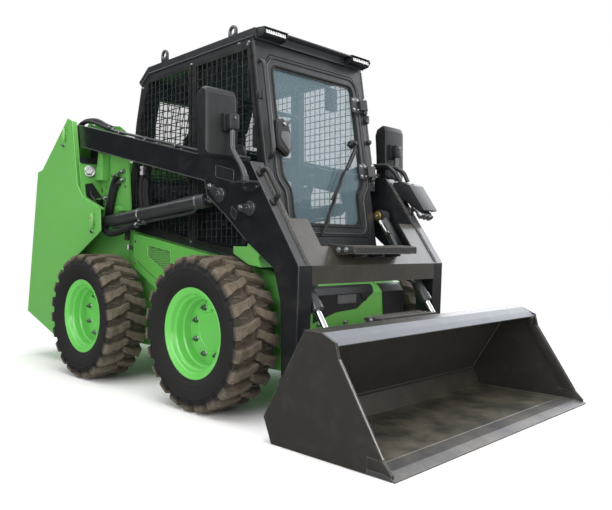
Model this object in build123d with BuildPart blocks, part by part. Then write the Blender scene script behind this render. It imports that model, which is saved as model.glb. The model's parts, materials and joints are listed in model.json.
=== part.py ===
"""Skid steer loader: a rigid four-wheel chassis, two rear towers, a lift arm over the sides of the cab
and a bucket on a quick coupler.

Millimetres. +X points forward, +Y to the machine's left and +Z up. The origin is on the ground, under the
middle of the overall length, so the bucket's cutting edge is at +HALF_LENGTH and the tail at -HALF_LENGTH.
Side views are drawn as (x, z) points and extruded across the machine, from one y to another.
"""

import os
from math import asin, atan2, cos, degrees, hypot, pi, radians, sin, sqrt

from build123d import *

os.makedirs("parts", exist_ok=True)

# ---------------------------------------------------------------------------------------------------------
# Driving dimensions
# ---------------------------------------------------------------------------------------------------------
HALF_LENGTH = 1713          # from the origin to the cutting edge, and to the tail
PIN_GAP = 0.3               # radial clearance of a pin or a rod in its bore
SIDE_GAP = 5                # side clearance between pieces that move past each other
SEAT_GAP = 0.3              # clearance where a piece only rests on its seat
BOSS_FACETS = 16            # flats round a boss or an eye that nothing turns on

# wheels
WHEELBASE = 1106
MID_WHEELBASE_X = -57
TYRE_RADIUS = 378
TYRE_WIDTH = 264
TRACK = 1322                # between the middles of the left and right tyres
LUGS = 22                   # in each of the two rows, one on each flat of that half of the carcass
LUG_HEIGHT = 22
LUG_LENGTH = 48
LUG_SKEW = 26
SHOULDER_DROP = 52          # from the tread's flats down to the sidewall
SHOULDER_WIDTH = 30
WHEEL_FACETS = 22           # flats of the bead seat, on the rim and in the tyre
RIM_RADIUS = 222            # edge of the bead flange
RIM_SEAT_RADIUS = 208
RIM_WIDTH = 214
RIM_FLANGE = 10
RIM_DISH = 122              # from the outer flange down to the disc
DISC_THICKNESS = 12
HUB_RADIUS = 78
HUB_RISE = 10
SHAFT_REACH = 30            # of the shaft past the rim's inner edge
SHAFT_RADIUS = 35
HOUSING_RADIUS = 80

# chassis
CHASSIS_HALF = 455
TUB_REAR = 113 - HALF_LENGTH
PLATE = 8
FLOOR_Z = 200
SILL_REAR = (-632, 919)     # top edge of the chassis side, where the cab stands on it
SILL_FRONT = (531, 716)
NOSE_X = 905
NOSE_Z = 590
NOSE_STEP_X = 850           # in front of this the nose is narrower, beside the tilt cylinders

# towers
TOWER_HALF = 630
TOWER_PLATE = 10
TOWER_FLANGE = 35
TAIL_TOP = (-1547, 1350)
TAIL_BOTTOM = (-HALF_LENGTH, 325)

# lift arm
ARM_OUTER = 588
ARM_WIDTH = 88
ELBOW_PLATE = 12            # the elbow's side plates beside the lift rod's eye
ARM_PIVOT = (-1133, 1558)
ARM_PIN_RADIUS = 28
ARM_END_RADIUS = 58
LIFT_BASE = (-736, 960)
LIFT_EYE = (502, 1057)
TILT_TOP = (725, 980)
BUCKET_PIVOT = (980, 180)
BUCKET_PIN_RADIUS = 22
LEG_END_RADIUS = 50
ELBOW_CORNER = (1040, 711)
ELBOW_TOP = (719, 1206)

# cylinders
LIFT_BARREL_RADIUS = 38
LIFT_ROD_RADIUS = 21
LIFT_PIN_RADIUS = 20
LIFT_BARREL_LENGTH = 1080
LIFT_ROD_LENGTH = 1180
LIFT_EYE_RADIUS = 40
TILT_BARREL_RADIUS = 30
TILT_ROD_RADIUS = 15
TILT_PIN_RADIUS = 18
TILT_BARREL_LENGTH = 565
TILT_ROD_LENGTH = 560
TILT_EYE_RADIUS = 26
TILT_Y = 450                # middle of a tilt cylinder
TILT_EYE_WIDTH = 56
TILT_EYE = (1098, 388)

# cab
CAB_HALF = 440
CAB_WALL = 45
CAB_TOP = 1880
CAB_REAR_TOP = (-377, CAB_TOP)
CAB_REAR_CORNER = (-453, 1824)
CAB_REAR_WAIST = (-517, 1588)
ROOF_THICKNESS = 37
VISOR_X = 600
MID_PILLAR_X = 78
PILLAR_WIDTH = 70
GLASS = 6
PANE_EDGE = 4               # how far a side pane laps its window's edge
GUARD = 6
DOOR_FOOT = (727, 850)      # lower end of the door plane's side view
DOOR_LEAN = 8.15            # degrees back from upright
DOOR_THICKNESS = 28
DOOR_GAP = 5
DOOR_LAP = 20               # how far the door laps the lip behind it
DOOR_HALF = 385
DOOR_LOWER_HALF = 330
DOOR_BORDER = 52
DOOR_HEIGHT = 955
DOOR_WAIST = 300
HANDLE_HEIGHT = 560         # of the handle's middle up the door plane
FOOT_HALF = 392             # half width of the cab's front below the waist, inboard of the tilt cylinders
FOOT_TOP = 1130
FOOT_X = 548
FOOT_WALL = 12
SEAT_X = -60                # rear edge of the footwell, under the cushion
FOOTWELL_HALF = 320

# bucket
BUCKET_HALF = 837
BUCKET_SHEET = 10
BUCKET_SIDE = 12
HEEL = (1119, 0)
BACK_FOOT = (1076, 103)
BACK_TOP = (1304, 476)
EDGE_DEPTH = 116
EDGE_THICKNESS = 18
COUPLER_HALF = 610
COUPLER_PLATE = 14


# ---------------------------------------------------------------------------------------------------------
# Helpers: each adds to, or cuts from, the part that is being built
# ---------------------------------------------------------------------------------------------------------
def plate(outline, y_from, y_to, mode=Mode.ADD):
    """Plate with a side view outline of (x, z) points, from y_from to y_to."""
    with BuildSketch(Plane.XZ.offset(-y_to)) as view:
        with BuildLine():
            Polyline(*outline, close=True)
        make_face()
    extrude(view.sketch, amount=y_to - y_from, mode=mode)


def across(centre, radius, y_from, y_to, mode=Mode.ADD):
    """Round bar or bore along Y about an (x, z) centre."""
    with BuildSketch(Plane.XZ.offset(-y_to)) as view:
        with Locations(centre):
            Circle(radius)
    extrude(view.sketch, amount=y_to - y_from, mode=mode)


def boss(centre, radius, y_from, y_to):
    """Boss or eye along Y about an (x, z) centre, with BOSS_FACETS flats."""
    with BuildSketch(Plane.XZ.offset(-y_to)) as view:
        with Locations(centre):
            RegularPolygon(radius, BOSS_FACETS)
    extrude(view.sketch, amount=y_to - y_from)


def block(x_span, y_span, z_span, mode=Mode.ADD):
    """Rectangular block between three pairs of limits."""
    middle = [(low + high) / 2 for low, high in (x_span, y_span, z_span)]
    size = [high - low for low, high in (x_span, y_span, z_span)]
    with Locations(tuple(middle)):
        Box(*size, mode=mode)


def span(side, inner, outer):
    """Limits in y of something between two distances from the middle plane, on side -1 or +1."""
    return tuple(sorted((side * inner, side * outer)))


def strip(start, end, thickness):
    """Side view outline of a flat plate from start to end, with its thickness to the right of the way."""
    length = hypot(end[0] - start[0], end[1] - start[1])
    dx = (end[1] - start[1]) / length * thickness
    dz = -(end[0] - start[0]) / length * thickness
    return [start, end, (end[0] + dx, end[1] + dz), (start[0] + dx, start[1] + dz)]


def folded(path, thickness):
    """Side view outline of a sheet folded along a path, with its thickness to the right of the way."""
    ways = [
        Vector(end[0] - start[0], end[1] - start[1]).normalized() for start, end in zip(path, path[1:])
    ]
    rights = [Vector(way.Y, -way.X) for way in ways]
    inside = []
    for (x, z), before, after in zip(path, [rights[0], *rights], [*rights, rights[-1]]):
        mitre = (before + after) * (thickness / (1 + before.dot(after)))
        inside.append((x + mitre.X, z + mitre.Y))
    return [*path, *reversed(inside)]


def along(start, end, distance):
    """Point at a distance from start on the way to end."""
    length = hypot(end[0] - start[0], end[1] - start[1])
    share = distance / length
    return (start[0] + (end[0] - start[0]) * share, start[1] + (end[1] - start[1]) * share)


def height_on(start, end, x):
    """Height of the straight line from start to end at x."""
    return start[1] + (end[1] - start[1]) * (x - start[0]) / (end[0] - start[0])


def export(piece, name):
    """Label a finished piece and write it as its own file."""
    piece.label = name
    export_step(piece, f"parts/{name}.step")


SIDES = ((-1, "right"), (1, "left"))
FRONT_AXLE_X = MID_WHEELBASE_X + WHEELBASE / 2
REAR_AXLE_X = MID_WHEELBASE_X - WHEELBASE / 2
AXLE_Z = TYRE_RADIUS
WHEEL_Y = TRACK / 2

# ---------------------------------------------------------------------------------------------------------
# Wheels: a bar-lug tyre on a deep-dish rim whose shaft runs in the axle housing
# ---------------------------------------------------------------------------------------------------------
carcass_radius = TYRE_RADIUS - LUG_HEIGHT
lug_pitch = 360 / LUGS
lug_reach = LUG_SKEW / 2 + LUG_LENGTH / 2
lug_top = sqrt(TYRE_RADIUS**2 - lug_reach**2)
lug_corner = degrees(asin(lug_reach / TYRE_RADIUS))
lug_depth = LUG_HEIGHT + 26
lug_ends = (2, TYRE_WIDTH / 2 - 4)      # from the middle plane

with BuildPart() as lug:                # at the bottom of the left half
    with BuildSketch(Plane.XY.offset(-lug_top)):
        with BuildLine():
            Polyline(
                (-lug_reach, lug_ends[0]),
                (-lug_reach + LUG_LENGTH, lug_ends[0]),
                (lug_reach, lug_ends[1]),
                (lug_reach - LUG_LENGTH, lug_ends[1]),
                close=True,
            )
        make_face()
    extrude(amount=lug_depth)

with BuildPart() as tyre_half:
    with BuildSketch(Plane.ZX):
        RegularPolygon(carcass_radius, LUGS, rotation=lug_pitch / 2)
    extrude(amount=TYRE_WIDTH / 2)
    sidewall = tyre_half.faces().sort_by(Axis.Y)[-1]
    chamfer(sidewall.edges(), length=SHOULDER_DROP, length2=SHOULDER_WIDTH, reference=sidewall)
    for turn in range(LUGS):
        add(lug.part.rotate(Axis.Y, turn * lug_pitch))
other_half = tyre_half.part.mirror(Plane.XZ).rotate(Axis.Y, lug_pitch / 2)


def facets(inner_radius, y_from, y_to, mode=Mode.ADD):
    """Polygon prism about the Y axis whose flats lie at a radius."""
    with BuildSketch(Plane.ZX.offset(y_from)) as ring:
        RegularPolygon(inner_radius, WHEEL_FACETS, major_radius=False)
    extrude(ring.sketch, amount=y_to - y_from, mode=mode)


with BuildPart() as tyre:
    for half in (tyre_half.part, other_half):
        add(half.rotate(Axis.Y, lug_corner))        # a lug's corner is at the bottom
    facets(RIM_SEAT_RADIUS + SEAT_GAP, -TYRE_WIDTH, TYRE_WIDTH, mode=Mode.SUBTRACT)

rim_half = RIM_WIDTH / 2
disc_face = rim_half - RIM_DISH
DISH_STEPS = (              # (radius of the dish, where that radius starts and ends from the middle plane)
    (RIM_SEAT_RADIUS - 12, rim_half - 24, rim_half),
    (RIM_SEAT_RADIUS - 24, rim_half - 70, rim_half - 24),
    (RIM_SEAT_RADIUS - 42, disc_face, rim_half - 70),
)
with BuildPart() as rim:
    facets(RIM_SEAT_RADIUS, -rim_half, rim_half)
    for flange in (-rim_half, rim_half - RIM_FLANGE):
        facets(RIM_RADIUS, flange, flange + RIM_FLANGE)
    for radius, start, end in DISH_STEPS:
        facets(radius, start, end, mode=Mode.SUBTRACT)
    facets(RIM_SEAT_RADIUS - 14, -rim_half, disc_face - DISC_THICKNESS, mode=Mode.SUBTRACT)
    facets(HUB_RADIUS, disc_face, disc_face + HUB_RISE)
    across((0, 0), SHAFT_RADIUS, -rim_half - SHAFT_REACH, disc_face)

for x, end in ((FRONT_AXLE_X, "front"), (REAR_AXLE_X, "rear")):
    for side, hand in SIDES:
        turn = Rot(0, 0, 0) if side > 0 else Rot(0, 0, 180)
        export(Pos(x, side * WHEEL_Y, AXLE_Z) * turn * tyre.part, f"tyre_{end}_{hand}")
        export(Pos(x, side * WHEEL_Y, AXLE_Z) * turn * rim.part, f"rim_{end}_{hand}")

housing_end = WHEEL_Y - rim_half + 20
with BuildPart() as axle_housings:
    for x in (FRONT_AXLE_X, REAR_AXLE_X):
        for side, hand in SIDES:
            boss((x, AXLE_Z), HOUSING_RADIUS, *span(side, CHASSIS_HALF, housing_end))
            boss((x, AXLE_Z), HOUSING_RADIUS + 35, *span(side, CHASSIS_HALF, CHASSIS_HALF + 14))
            across(
                (x, AXLE_Z),
                SHAFT_RADIUS + PIN_GAP,
                *span(side, CHASSIS_HALF, housing_end),
                mode=Mode.SUBTRACT,
            )
export(axle_housings.part, "axle_housings")

# ---------------------------------------------------------------------------------------------------------
# Chassis tub: folded sides, floor and nose, open at the top, with a flange that carries the cab
# ---------------------------------------------------------------------------------------------------------
tub_top = SILL_REAR[1]
tub = [
    (TUB_REAR, 345),
    (-1240, FLOOR_Z),
    (800, FLOOR_Z),
    (NOSE_X - 20, 290),
    (NOSE_X, NOSE_Z - 30),
    (NOSE_X - 30, NOSE_Z),
    (690, 670),
    SILL_FRONT,
    SILL_REAR,
    (TUB_REAR + 95, tub_top),
]
tub_inside = [
    (TUB_REAR + PLATE + 4, 345 + PLATE),
    (-1240, FLOOR_Z + PLATE),
    (800 - 3, FLOOR_Z + PLATE),
    (NOSE_X - 20 - PLATE, 290 + 3),
    (NOSE_X - PLATE, NOSE_Z - 33),
    (NOSE_X - 34, NOSE_Z - PLATE),
    (640, NOSE_Z - PLATE),
    (640, tub_top + 200),
    (TUB_REAR + 130, tub_top + 200),
]
NOSE_HALF = TILT_Y - TILT_BARREL_RADIUS - 2 * SIDE_GAP
step_rear = NOSE_STEP_X - PLATE
nose_side = [
    (step_rear, height_on((800, FLOOR_Z), (NOSE_X - 20, 290), step_rear)),
    (NOSE_X - 20, 290),
    (NOSE_X, NOSE_Z - 30),
    (NOSE_X - 30, NOSE_Z),
    (step_rear, height_on((NOSE_X - 30, NOSE_Z), (690, 670), step_rear)),
]
nose_step = [
    nose_side[0],
    (NOSE_STEP_X, height_on((800, FLOOR_Z), (NOSE_X - 20, 290), NOSE_STEP_X)),
    (NOSE_STEP_X, height_on((NOSE_X - 30, NOSE_Z), (690, 670), NOSE_STEP_X)),
    nose_side[-1],
]
with BuildPart() as chassis:
    plate(tub, -CHASSIS_HALF, CHASSIS_HALF)
    plate(tub_inside, -CHASSIS_HALF + PLATE, CHASSIS_HALF - PLATE, mode=Mode.SUBTRACT)
    for side, hand in SIDES:
        block(
            (NOSE_STEP_X, NOSE_X + 1),
            span(side, NOSE_HALF, CHASSIS_HALF),
            (FLOOR_Z, tub_top),
            mode=Mode.SUBTRACT,
        )
        plate(nose_side, *span(side, NOSE_HALF - PLATE, NOSE_HALF))
        plate(nose_step, *span(side, NOSE_HALF - PLATE, CHASSIS_HALF))
        plate(strip(SILL_REAR, SILL_FRONT, 12), *span(side, CHASSIS_HALF - 50, CHASSIS_HALF))
export(chassis.part, "chassis")

# ---------------------------------------------------------------------------------------------------------
# Tail plane, on which the tailgate and its hinge lie
# ---------------------------------------------------------------------------------------------------------
tail_up = (TAIL_TOP[0] - TAIL_BOTTOM[0], TAIL_TOP[1] - TAIL_BOTTOM[1])
tail_tilt = atan2(tail_up[0], tail_up[1])
tail_plane = Plane(
    origin=(TAIL_BOTTOM[0], 0, TAIL_BOTTOM[1]),
    x_dir=(0, -1, 0),
    z_dir=(-cos(tail_tilt), 0, sin(tail_tilt)),
)
GATE_THICKNESS = 70
GATE_SHEET = 8
GATE_BOTTOM = 45            # up the tail's plane
GATE_TOP = 880
GATE_HINGE_Y = 430
GATE_PIN_RADIUS = 12
GATE_HINGES = (140, 700)
GATE_KNUCKLE = 70
GATE_KNUCKLE_RADIUS = 20
GATE_LUG = 16
LAMP_HEIGHT = 790           # of the tail lamps' middles up the tail
LENS_THICKNESS = 6


def up_tail(height):
    """Plane square to the tailgate's hinge axis; its x is rearward and its y to the right."""
    foot = tail_plane.from_local_coords((0, height, 0))
    return Plane(
        origin=foot,
        x_dir=(-cos(tail_tilt), 0, sin(tail_tilt)),
        z_dir=(sin(tail_tilt), 0, cos(tail_tilt)),
    )


# ---------------------------------------------------------------------------------------------------------
# Towers: an outer and an inner plate, closed at the rear, with the arm and the lift cylinder between them
# ---------------------------------------------------------------------------------------------------------
tower_front = [(-1016, 1650), (-941, 1213), (-871, 1129), (-640, 1045)]
tower_outer = [
    (-1082, 1674),
    *tower_front,
    (-633, 900),
    (-1036, 699),
    (-1255, 181),
    TAIL_BOTTOM,
    TAIL_TOP,
    (-1471, 1361),
]
tower_inner = [
    (-1082, 1674),
    (-1022, 1644),
    (-678, 1588),
    (-616, 1550),
    (-566, 1325),
    (-540, 1049),
    (-560, 700),
    (-1036, 640),
    (-1255, 181),
    TAIL_BOTTOM,
    TAIL_TOP,
    (-1471, 1361),
]
tower_tail = [              # the sheet that closes the tower from its top, down the tail, to the wheel
    along((-1471, 1361), (-1082, 1674), 300),
    (-1471, 1361),
    TAIL_TOP,
    TAIL_BOTTOM,
    (-1255, 181),
    (-1036, 699),
]
HOOD_HINGE = (-640, 1330)
HOOD_PIN_RADIUS = 10
inner_face = CHASSIS_HALF + TOWER_PLATE
for side, hand in SIDES:
    with BuildPart() as tower:
        plate(tower_outer, *span(side, TOWER_HALF - TOWER_PLATE, TOWER_HALF))
        plate(tower_inner, *span(side, CHASSIS_HALF, inner_face))
        plate(folded(tower_front, TOWER_PLATE), *span(side, TOWER_HALF - TOWER_FLANGE, TOWER_HALF))
        between = span(side, inner_face, TOWER_HALF - TOWER_PLATE)
        plate(folded(tower_tail, -TOWER_PLATE), *between)
        plate(strip((-935, 1400), (-885, 1120), TOWER_PLATE), *between)
        across(ARM_PIVOT, ARM_PIN_RADIUS, *span(side, CHASSIS_HALF, TOWER_HALF))
        across(LIFT_BASE, LIFT_PIN_RADIUS, *span(side, CHASSIS_HALF, TOWER_HALF))
        across(
            HOOD_HINGE,
            HOOD_PIN_RADIUS + PIN_GAP,
            *span(side, CHASSIS_HALF, inner_face),
            mode=Mode.SUBTRACT,
        )
        if hand == "left":
            for height in GATE_HINGES:
                with BuildSketch(up_tail(height - SIDE_GAP - GATE_LUG)):
                    with Locations((0, -(GATE_HINGE_Y + inner_face) / 2 + GATE_PIN_RADIUS / 2)):
                        Rectangle(2 * GATE_PIN_RADIUS, inner_face - GATE_HINGE_Y + GATE_PIN_RADIUS)
                extrude(amount=GATE_LUG)
                with BuildSketch(up_tail(height - SIDE_GAP - GATE_LUG)):
                    with Locations((0, -GATE_HINGE_Y)):
                        Circle(GATE_PIN_RADIUS)
                extrude(amount=GATE_LUG + SIDE_GAP + GATE_KNUCKLE)
    export(tower.part, f"tower_{hand}")

# ---------------------------------------------------------------------------------------------------------
# Side covers over the hydraulics, with a vent
# ---------------------------------------------------------------------------------------------------------
COVER_OUTER = 500
with BuildPart() as side_covers:
    for side, hand in SIDES:
        cover = [
            (-444, height_on(SILL_REAR, SILL_FRONT, -444)),
            (549, height_on(SILL_REAR, SILL_FRONT, 549)),
            (600, 560),
            (-139, 519),
            (-444, 674),
        ]
        plate(cover, *span(side, CHASSIS_HALF, COVER_OUTER))
export(side_covers.part, "side_covers")

# ---------------------------------------------------------------------------------------------------------
# Engine: one block on the tub's floor
# ---------------------------------------------------------------------------------------------------------
with BuildPart() as engine:
    block((-1230, -640), (-260, 260), (FLOOR_Z + PLATE, 960))
export(engine.part, "engine")

# ---------------------------------------------------------------------------------------------------------
# Cab frame: a hollow box of pillars with its windows, door opening and roof hatch cut
# ---------------------------------------------------------------------------------------------------------
lean = radians(DOOR_LEAN)


def door_x(z, behind=0):
    """x of the door plane at a height, or of a plane that lies behind it."""
    return DOOR_FOOT[0] - (z - DOOR_FOOT[1]) * sin(lean) / cos(lean) - behind / cos(lean)


door_plane = Plane(
    origin=(DOOR_FOOT[0], 0, DOOR_FOOT[1]),
    x_dir=(0, 1, 0),
    z_dir=(cos(lean), 0, sin(lean)),
)
door_outline = [
    (-DOOR_LOWER_HALF, 8),
    (DOOR_LOWER_HALF, 8),
    (DOOR_LOWER_HALF, DOOR_WAIST - 60),
    (DOOR_HALF, DOOR_WAIST),
    (DOOR_HALF, DOOR_HEIGHT - 60),
    (DOOR_HALF - 50, DOOR_HEIGHT),
    (-DOOR_HALF + 50, DOOR_HEIGHT),
    (-DOOR_HALF, DOOR_HEIGHT - 60),
    (-DOOR_HALF, DOOR_WAIST),
    (-DOOR_LOWER_HALF, DOOR_WAIST - 60),
]
HINGE_Y = 404
HINGE_OUT = 24              # hinge axis in front of the door's face
HINGE_PIN_RADIUS = 10
KNUCKLE_RADIUS = 17
KNUCKLE_LENGTH = 60
HINGES = (360, 760)         # height of each knuckle's lower end up the door plane


def door_slice(depth):
    """Plane parallel to the door's face, at a depth behind it (negative is in front)."""
    return door_plane.offset(-depth)


def up_door(height):
    """Plane square to the hinge axis at a height up the door plane; its x is forward and its y to the left."""
    foot = door_plane.from_local_coords((0, height, 0))
    return Plane(origin=foot, x_dir=(cos(lean), 0, sin(lean)), z_dir=(-sin(lean), 0, cos(lean)))


cab_foot_z = 690
cab_side = [
    SILL_REAR,
    SILL_FRONT,
    (door_x(cab_foot_z), cab_foot_z),
    (door_x(CAB_TOP), CAB_TOP),
    CAB_REAR_TOP,
    CAB_REAR_CORNER,
    CAB_REAR_WAIST,
]
window_top = CAB_TOP - 65
sill_rise = 50
front_window = [
    (MID_PILLAR_X + PILLAR_WIDTH / 2, window_top),
    (door_x(window_top, CAB_WALL + PANE_EDGE + 1), window_top),
    (door_x(FOOT_TOP + 70, CAB_WALL + PANE_EDGE + 1), FOOT_TOP + 70),
    (FOOT_X - 40, FOOT_TOP + 20),
    (FOOT_X - 40, height_on(SILL_REAR, SILL_FRONT, FOOT_X - 40) + sill_rise),
    (
        MID_PILLAR_X + PILLAR_WIDTH / 2,
        height_on(SILL_REAR, SILL_FRONT, MID_PILLAR_X + PILLAR_WIDTH / 2) + sill_rise,
    ),
]
rear_window = [
    (MID_PILLAR_X - PILLAR_WIDTH / 2, window_top),
    (CAB_REAR_TOP[0] + 10, window_top),
    (CAB_REAR_WAIST[0] + 60, CAB_REAR_WAIST[1]),
    (SILL_REAR[0] + 75, SILL_REAR[1] + 40),
    (
        MID_PILLAR_X - PILLAR_WIDTH / 2,
        height_on(SILL_REAR, SILL_FRONT, MID_PILLAR_X - PILLAR_WIDTH / 2) + sill_rise,
    ),
]
foot = [                    # the narrow front below the waist
    (FOOT_X, height_on(SILL_REAR, SILL_FRONT, FOOT_X) + 4),
    (door_x(cab_foot_z), cab_foot_z),
    (door_x(FOOT_TOP + FOOT_WALL), FOOT_TOP + FOOT_WALL),
    (FOOT_X, FOOT_TOP + FOOT_WALL),
]
cab_inner_half = CAB_HALF - CAB_WALL
with BuildPart() as cab_frame:
    plate(cab_side, -CAB_HALF, CAB_HALF)
    with BuildSketch(Plane.XZ.offset(-cab_inner_half)) as inside:
        with BuildLine():
            Polyline(*cab_side, close=True)
        make_face()
        offset(amount=-CAB_WALL, kind=Kind.INTERSECTION, mode=Mode.REPLACE)
    extrude(inside.sketch, amount=2 * cab_inner_half, mode=Mode.SUBTRACT)
    for window in (front_window, rear_window):
        plate(window, -CAB_HALF, CAB_HALF, mode=Mode.SUBTRACT)
    for side, hand in SIDES:
        plate(foot, *span(side, FOOT_HALF - FOOT_WALL, CAB_HALF))
        block(
            (FOOT_X + FOOT_WALL, door_x(cab_foot_z)),
            span(side, FOOT_HALF, CAB_HALF),
            (cab_foot_z - 40, FOOT_TOP),
            mode=Mode.SUBTRACT,
        )
    for reach, depth in ((SIDE_GAP, DOOR_THICKNESS + DOOR_GAP), (-DOOR_LAP, 2 * CAB_WALL)):
        with BuildSketch(door_slice(depth)) as opening:
            with BuildLine():
                Polyline(*door_outline, close=True)
            make_face()
            offset(amount=reach, kind=Kind.INTERSECTION, mode=Mode.REPLACE)
        extrude(opening.sketch, amount=depth + 1, mode=Mode.SUBTRACT)
    block((-700, -400), (-320, 320), (1230, 1740), mode=Mode.SUBTRACT)
    block((-150, 420), (-270, 270), (CAB_TOP - 100, CAB_TOP + 10), mode=Mode.SUBTRACT)
    block((SEAT_X, 600), (-FOOTWELL_HALF, FOOTWELL_HALF), (600, 860), mode=Mode.SUBTRACT)
export(cab_frame.part, "cab_frame")

roof_profile = [
    (CAB_REAR_CORNER[0] - 12, CAB_REAR_CORNER[1] - 9),
    CAB_REAR_CORNER,
    CAB_REAR_TOP,
    (VISOR_X - 20, CAB_TOP),
    (VISOR_X, CAB_TOP - 22),
    (VISOR_X, CAB_TOP + ROOF_THICKNESS - 8),
    (VISOR_X - 8, CAB_TOP + ROOF_THICKNESS),
    (CAB_REAR_TOP[0] - 8, CAB_TOP + ROOF_THICKNESS),
    (CAB_REAR_CORNER[0] - 34, CAB_REAR_CORNER[1] + 18),
]
EYES = (                    # (x, height above the roof)
    (-260, 88),
    (375, 73),
)
roof_top = CAB_TOP + ROOF_THICKNESS
with BuildPart() as cab_roof:
    plate(roof_profile, -CAB_HALF, CAB_HALF)
    for x, rise in EYES:
        for side, hand in SIDES:
            block((x - 32, x + 32), span(side, 394, 406), (roof_top - 5, roof_top + rise - 32))
            boss((x, roof_top + rise - 32), 32, *span(side, 394, 406))
            across((x, roof_top + rise - 32), 17, *span(side, 394, 406), mode=Mode.SUBTRACT)
export(cab_roof.part, "cab_roof")

with BuildPart() as work_lights:
    for side, hand in SIDES:
        block((VISOR_X, VISOR_X + 14), span(side, 270, 425), (CAB_TOP - 6, CAB_TOP + 24))
export(work_lights.part, "work_lights")

with BuildPart() as cab_glass:
    for side, hand in SIDES:
        for window in (front_window, rear_window):
            with BuildSketch(Plane.XZ.offset(-max(span(side, cab_inner_half - GLASS, cab_inner_half)))) as pane:
                with BuildLine():
                    Polyline(*window, close=True)
                make_face()
                offset(amount=PANE_EDGE, kind=Kind.INTERSECTION, mode=Mode.REPLACE)
            extrude(pane.sketch, amount=GLASS)
export(cab_glass.part, "cab_glass")

with BuildPart() as side_guards:
    for side, hand in SIDES:
        for window in (front_window, rear_window):
            low, high = span(side, CAB_HALF, CAB_HALF + GUARD)
            with BuildSketch(Plane.XZ.offset(-high)) as guard:
                with BuildLine():
                    Polyline(*window, close=True)
                make_face()
                offset(amount=22, kind=Kind.INTERSECTION, mode=Mode.REPLACE)
                with BuildLine():
                    Polyline(*window, close=True)
                make_face(mode=Mode.SUBTRACT)
            extrude(guard.sketch, amount=GUARD)
export(side_guards.part, "side_guards")

# ---------------------------------------------------------------------------------------------------------
# Seat and control consoles, standing on the cab's floor beside the footwell
# ---------------------------------------------------------------------------------------------------------
sill_angle = atan2(SILL_REAR[1] - SILL_FRONT[1], SILL_FRONT[0] - SILL_REAR[0])


def cab_floor(x):
    """Height of the cab floor's upper face."""
    return height_on(SILL_REAR, SILL_FRONT, x) + CAB_WALL / cos(sill_angle)


CONSOLE_GAP = 15            # from the footwell's side to a console
seat_side = [
    (SEAT_X - 240, cab_floor(SEAT_X - 240)),
    (SEAT_X - 5, cab_floor(SEAT_X - 5)),
    (SEAT_X, 930),
    (SEAT_X + 210, 935),
    (SEAT_X + 215, 1010),
    (SEAT_X - 150, 1030),
    (SEAT_X - 230, 1400),
    (SEAT_X - 235, 1590),
    (SEAT_X - 300, 1600),
    (SEAT_X - 320, 1400),
    (SEAT_X - 250, 1000),
]
with BuildPart() as seat:
    plate(seat_side, -225, 225)
export(seat.part, "seat")

console_side = [
    (SEAT_X - 200, cab_floor(SEAT_X - 200)),
    (SEAT_X + 300, cab_floor(SEAT_X + 300)),
    (SEAT_X + 330, 1040),
    (SEAT_X - 200, 1080),
]
with BuildPart() as consoles:
    for side, hand in SIDES:
        plate(console_side, *span(side, FOOTWELL_HALF + CONSOLE_GAP, cab_inner_half - GLASS - 1))
        block((SEAT_X + 270, SEAT_X + 305), span(side, 340, 370), (1030, 1180))
export(consoles.part, "consoles")

# ---------------------------------------------------------------------------------------------------------
# Door: a leaning frame with its pane, on two lift-off hinges at the machine's left
# ---------------------------------------------------------------------------------------------------------
with BuildPart() as door_frame:
    with BuildSketch(door_slice(DOOR_THICKNESS)):
        with BuildLine():
            Polyline(*door_outline, close=True)
        make_face()
    extrude(amount=DOOR_THICKNESS)
    with BuildSketch(door_slice(DOOR_THICKNESS)):
        with BuildLine():
            Polyline(*door_outline, close=True)
        make_face()
        offset(amount=-DOOR_BORDER, kind=Kind.INTERSECTION, mode=Mode.REPLACE)
    extrude(amount=DOOR_THICKNESS, mode=Mode.SUBTRACT)
    for height in HINGES:
        with BuildSketch(up_door(height)):
            with Locations((HINGE_OUT, HINGE_Y)):
                Circle(KNUCKLE_RADIUS)
            with BuildLine():
                Polyline(
                    (-DOOR_THICKNESS / 2, DOOR_HALF - 20),
                    (HINGE_OUT, DOOR_HALF - 20),
                    (HINGE_OUT + KNUCKLE_RADIUS, HINGE_Y),
                    (HINGE_OUT, HINGE_Y),
                    (SIDE_GAP, DOOR_HALF + SIDE_GAP),
                    (-DOOR_THICKNESS / 2, DOOR_HALF),
                    close=True,
                )
            make_face()
        extrude(amount=KNUCKLE_LENGTH)
        with BuildSketch(up_door(height)):
            with Locations((HINGE_OUT, HINGE_Y)):
                Circle(HINGE_PIN_RADIUS + PIN_GAP)
        extrude(amount=KNUCKLE_LENGTH, mode=Mode.SUBTRACT)
export(door_frame.part, "door_frame")

with BuildPart() as door_glass:
    with BuildSketch(door_slice(DOOR_THICKNESS / 2 + GLASS / 2)):
        with BuildLine():
            Polyline(*door_outline, close=True)
        make_face()
        offset(amount=-DOOR_BORDER, kind=Kind.INTERSECTION, mode=Mode.REPLACE)
    extrude(amount=GLASS)
export(door_glass.part, "door_glass")

with BuildPart() as door_hinges:
    for height in HINGES:
        with BuildSketch(up_door(height - SIDE_GAP - 14)):
            with BuildLine():
                Polyline(
                    (0, DOOR_HALF + 2 * SIDE_GAP),
                    (HINGE_OUT, HINGE_Y - 14),
                    (HINGE_OUT + 14, HINGE_Y),
                    (HINGE_OUT, HINGE_Y + 14),
                    (0, CAB_HALF - 6),
                    close=True,
                )
            make_face()
        extrude(amount=14)
        with BuildSketch(up_door(height - SIDE_GAP - 14)):
            with Locations((HINGE_OUT, HINGE_Y)):
                Circle(HINGE_PIN_RADIUS)
        extrude(amount=14 + SIDE_GAP + KNUCKLE_LENGTH)
export(door_hinges.part, "door_hinges")

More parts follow.
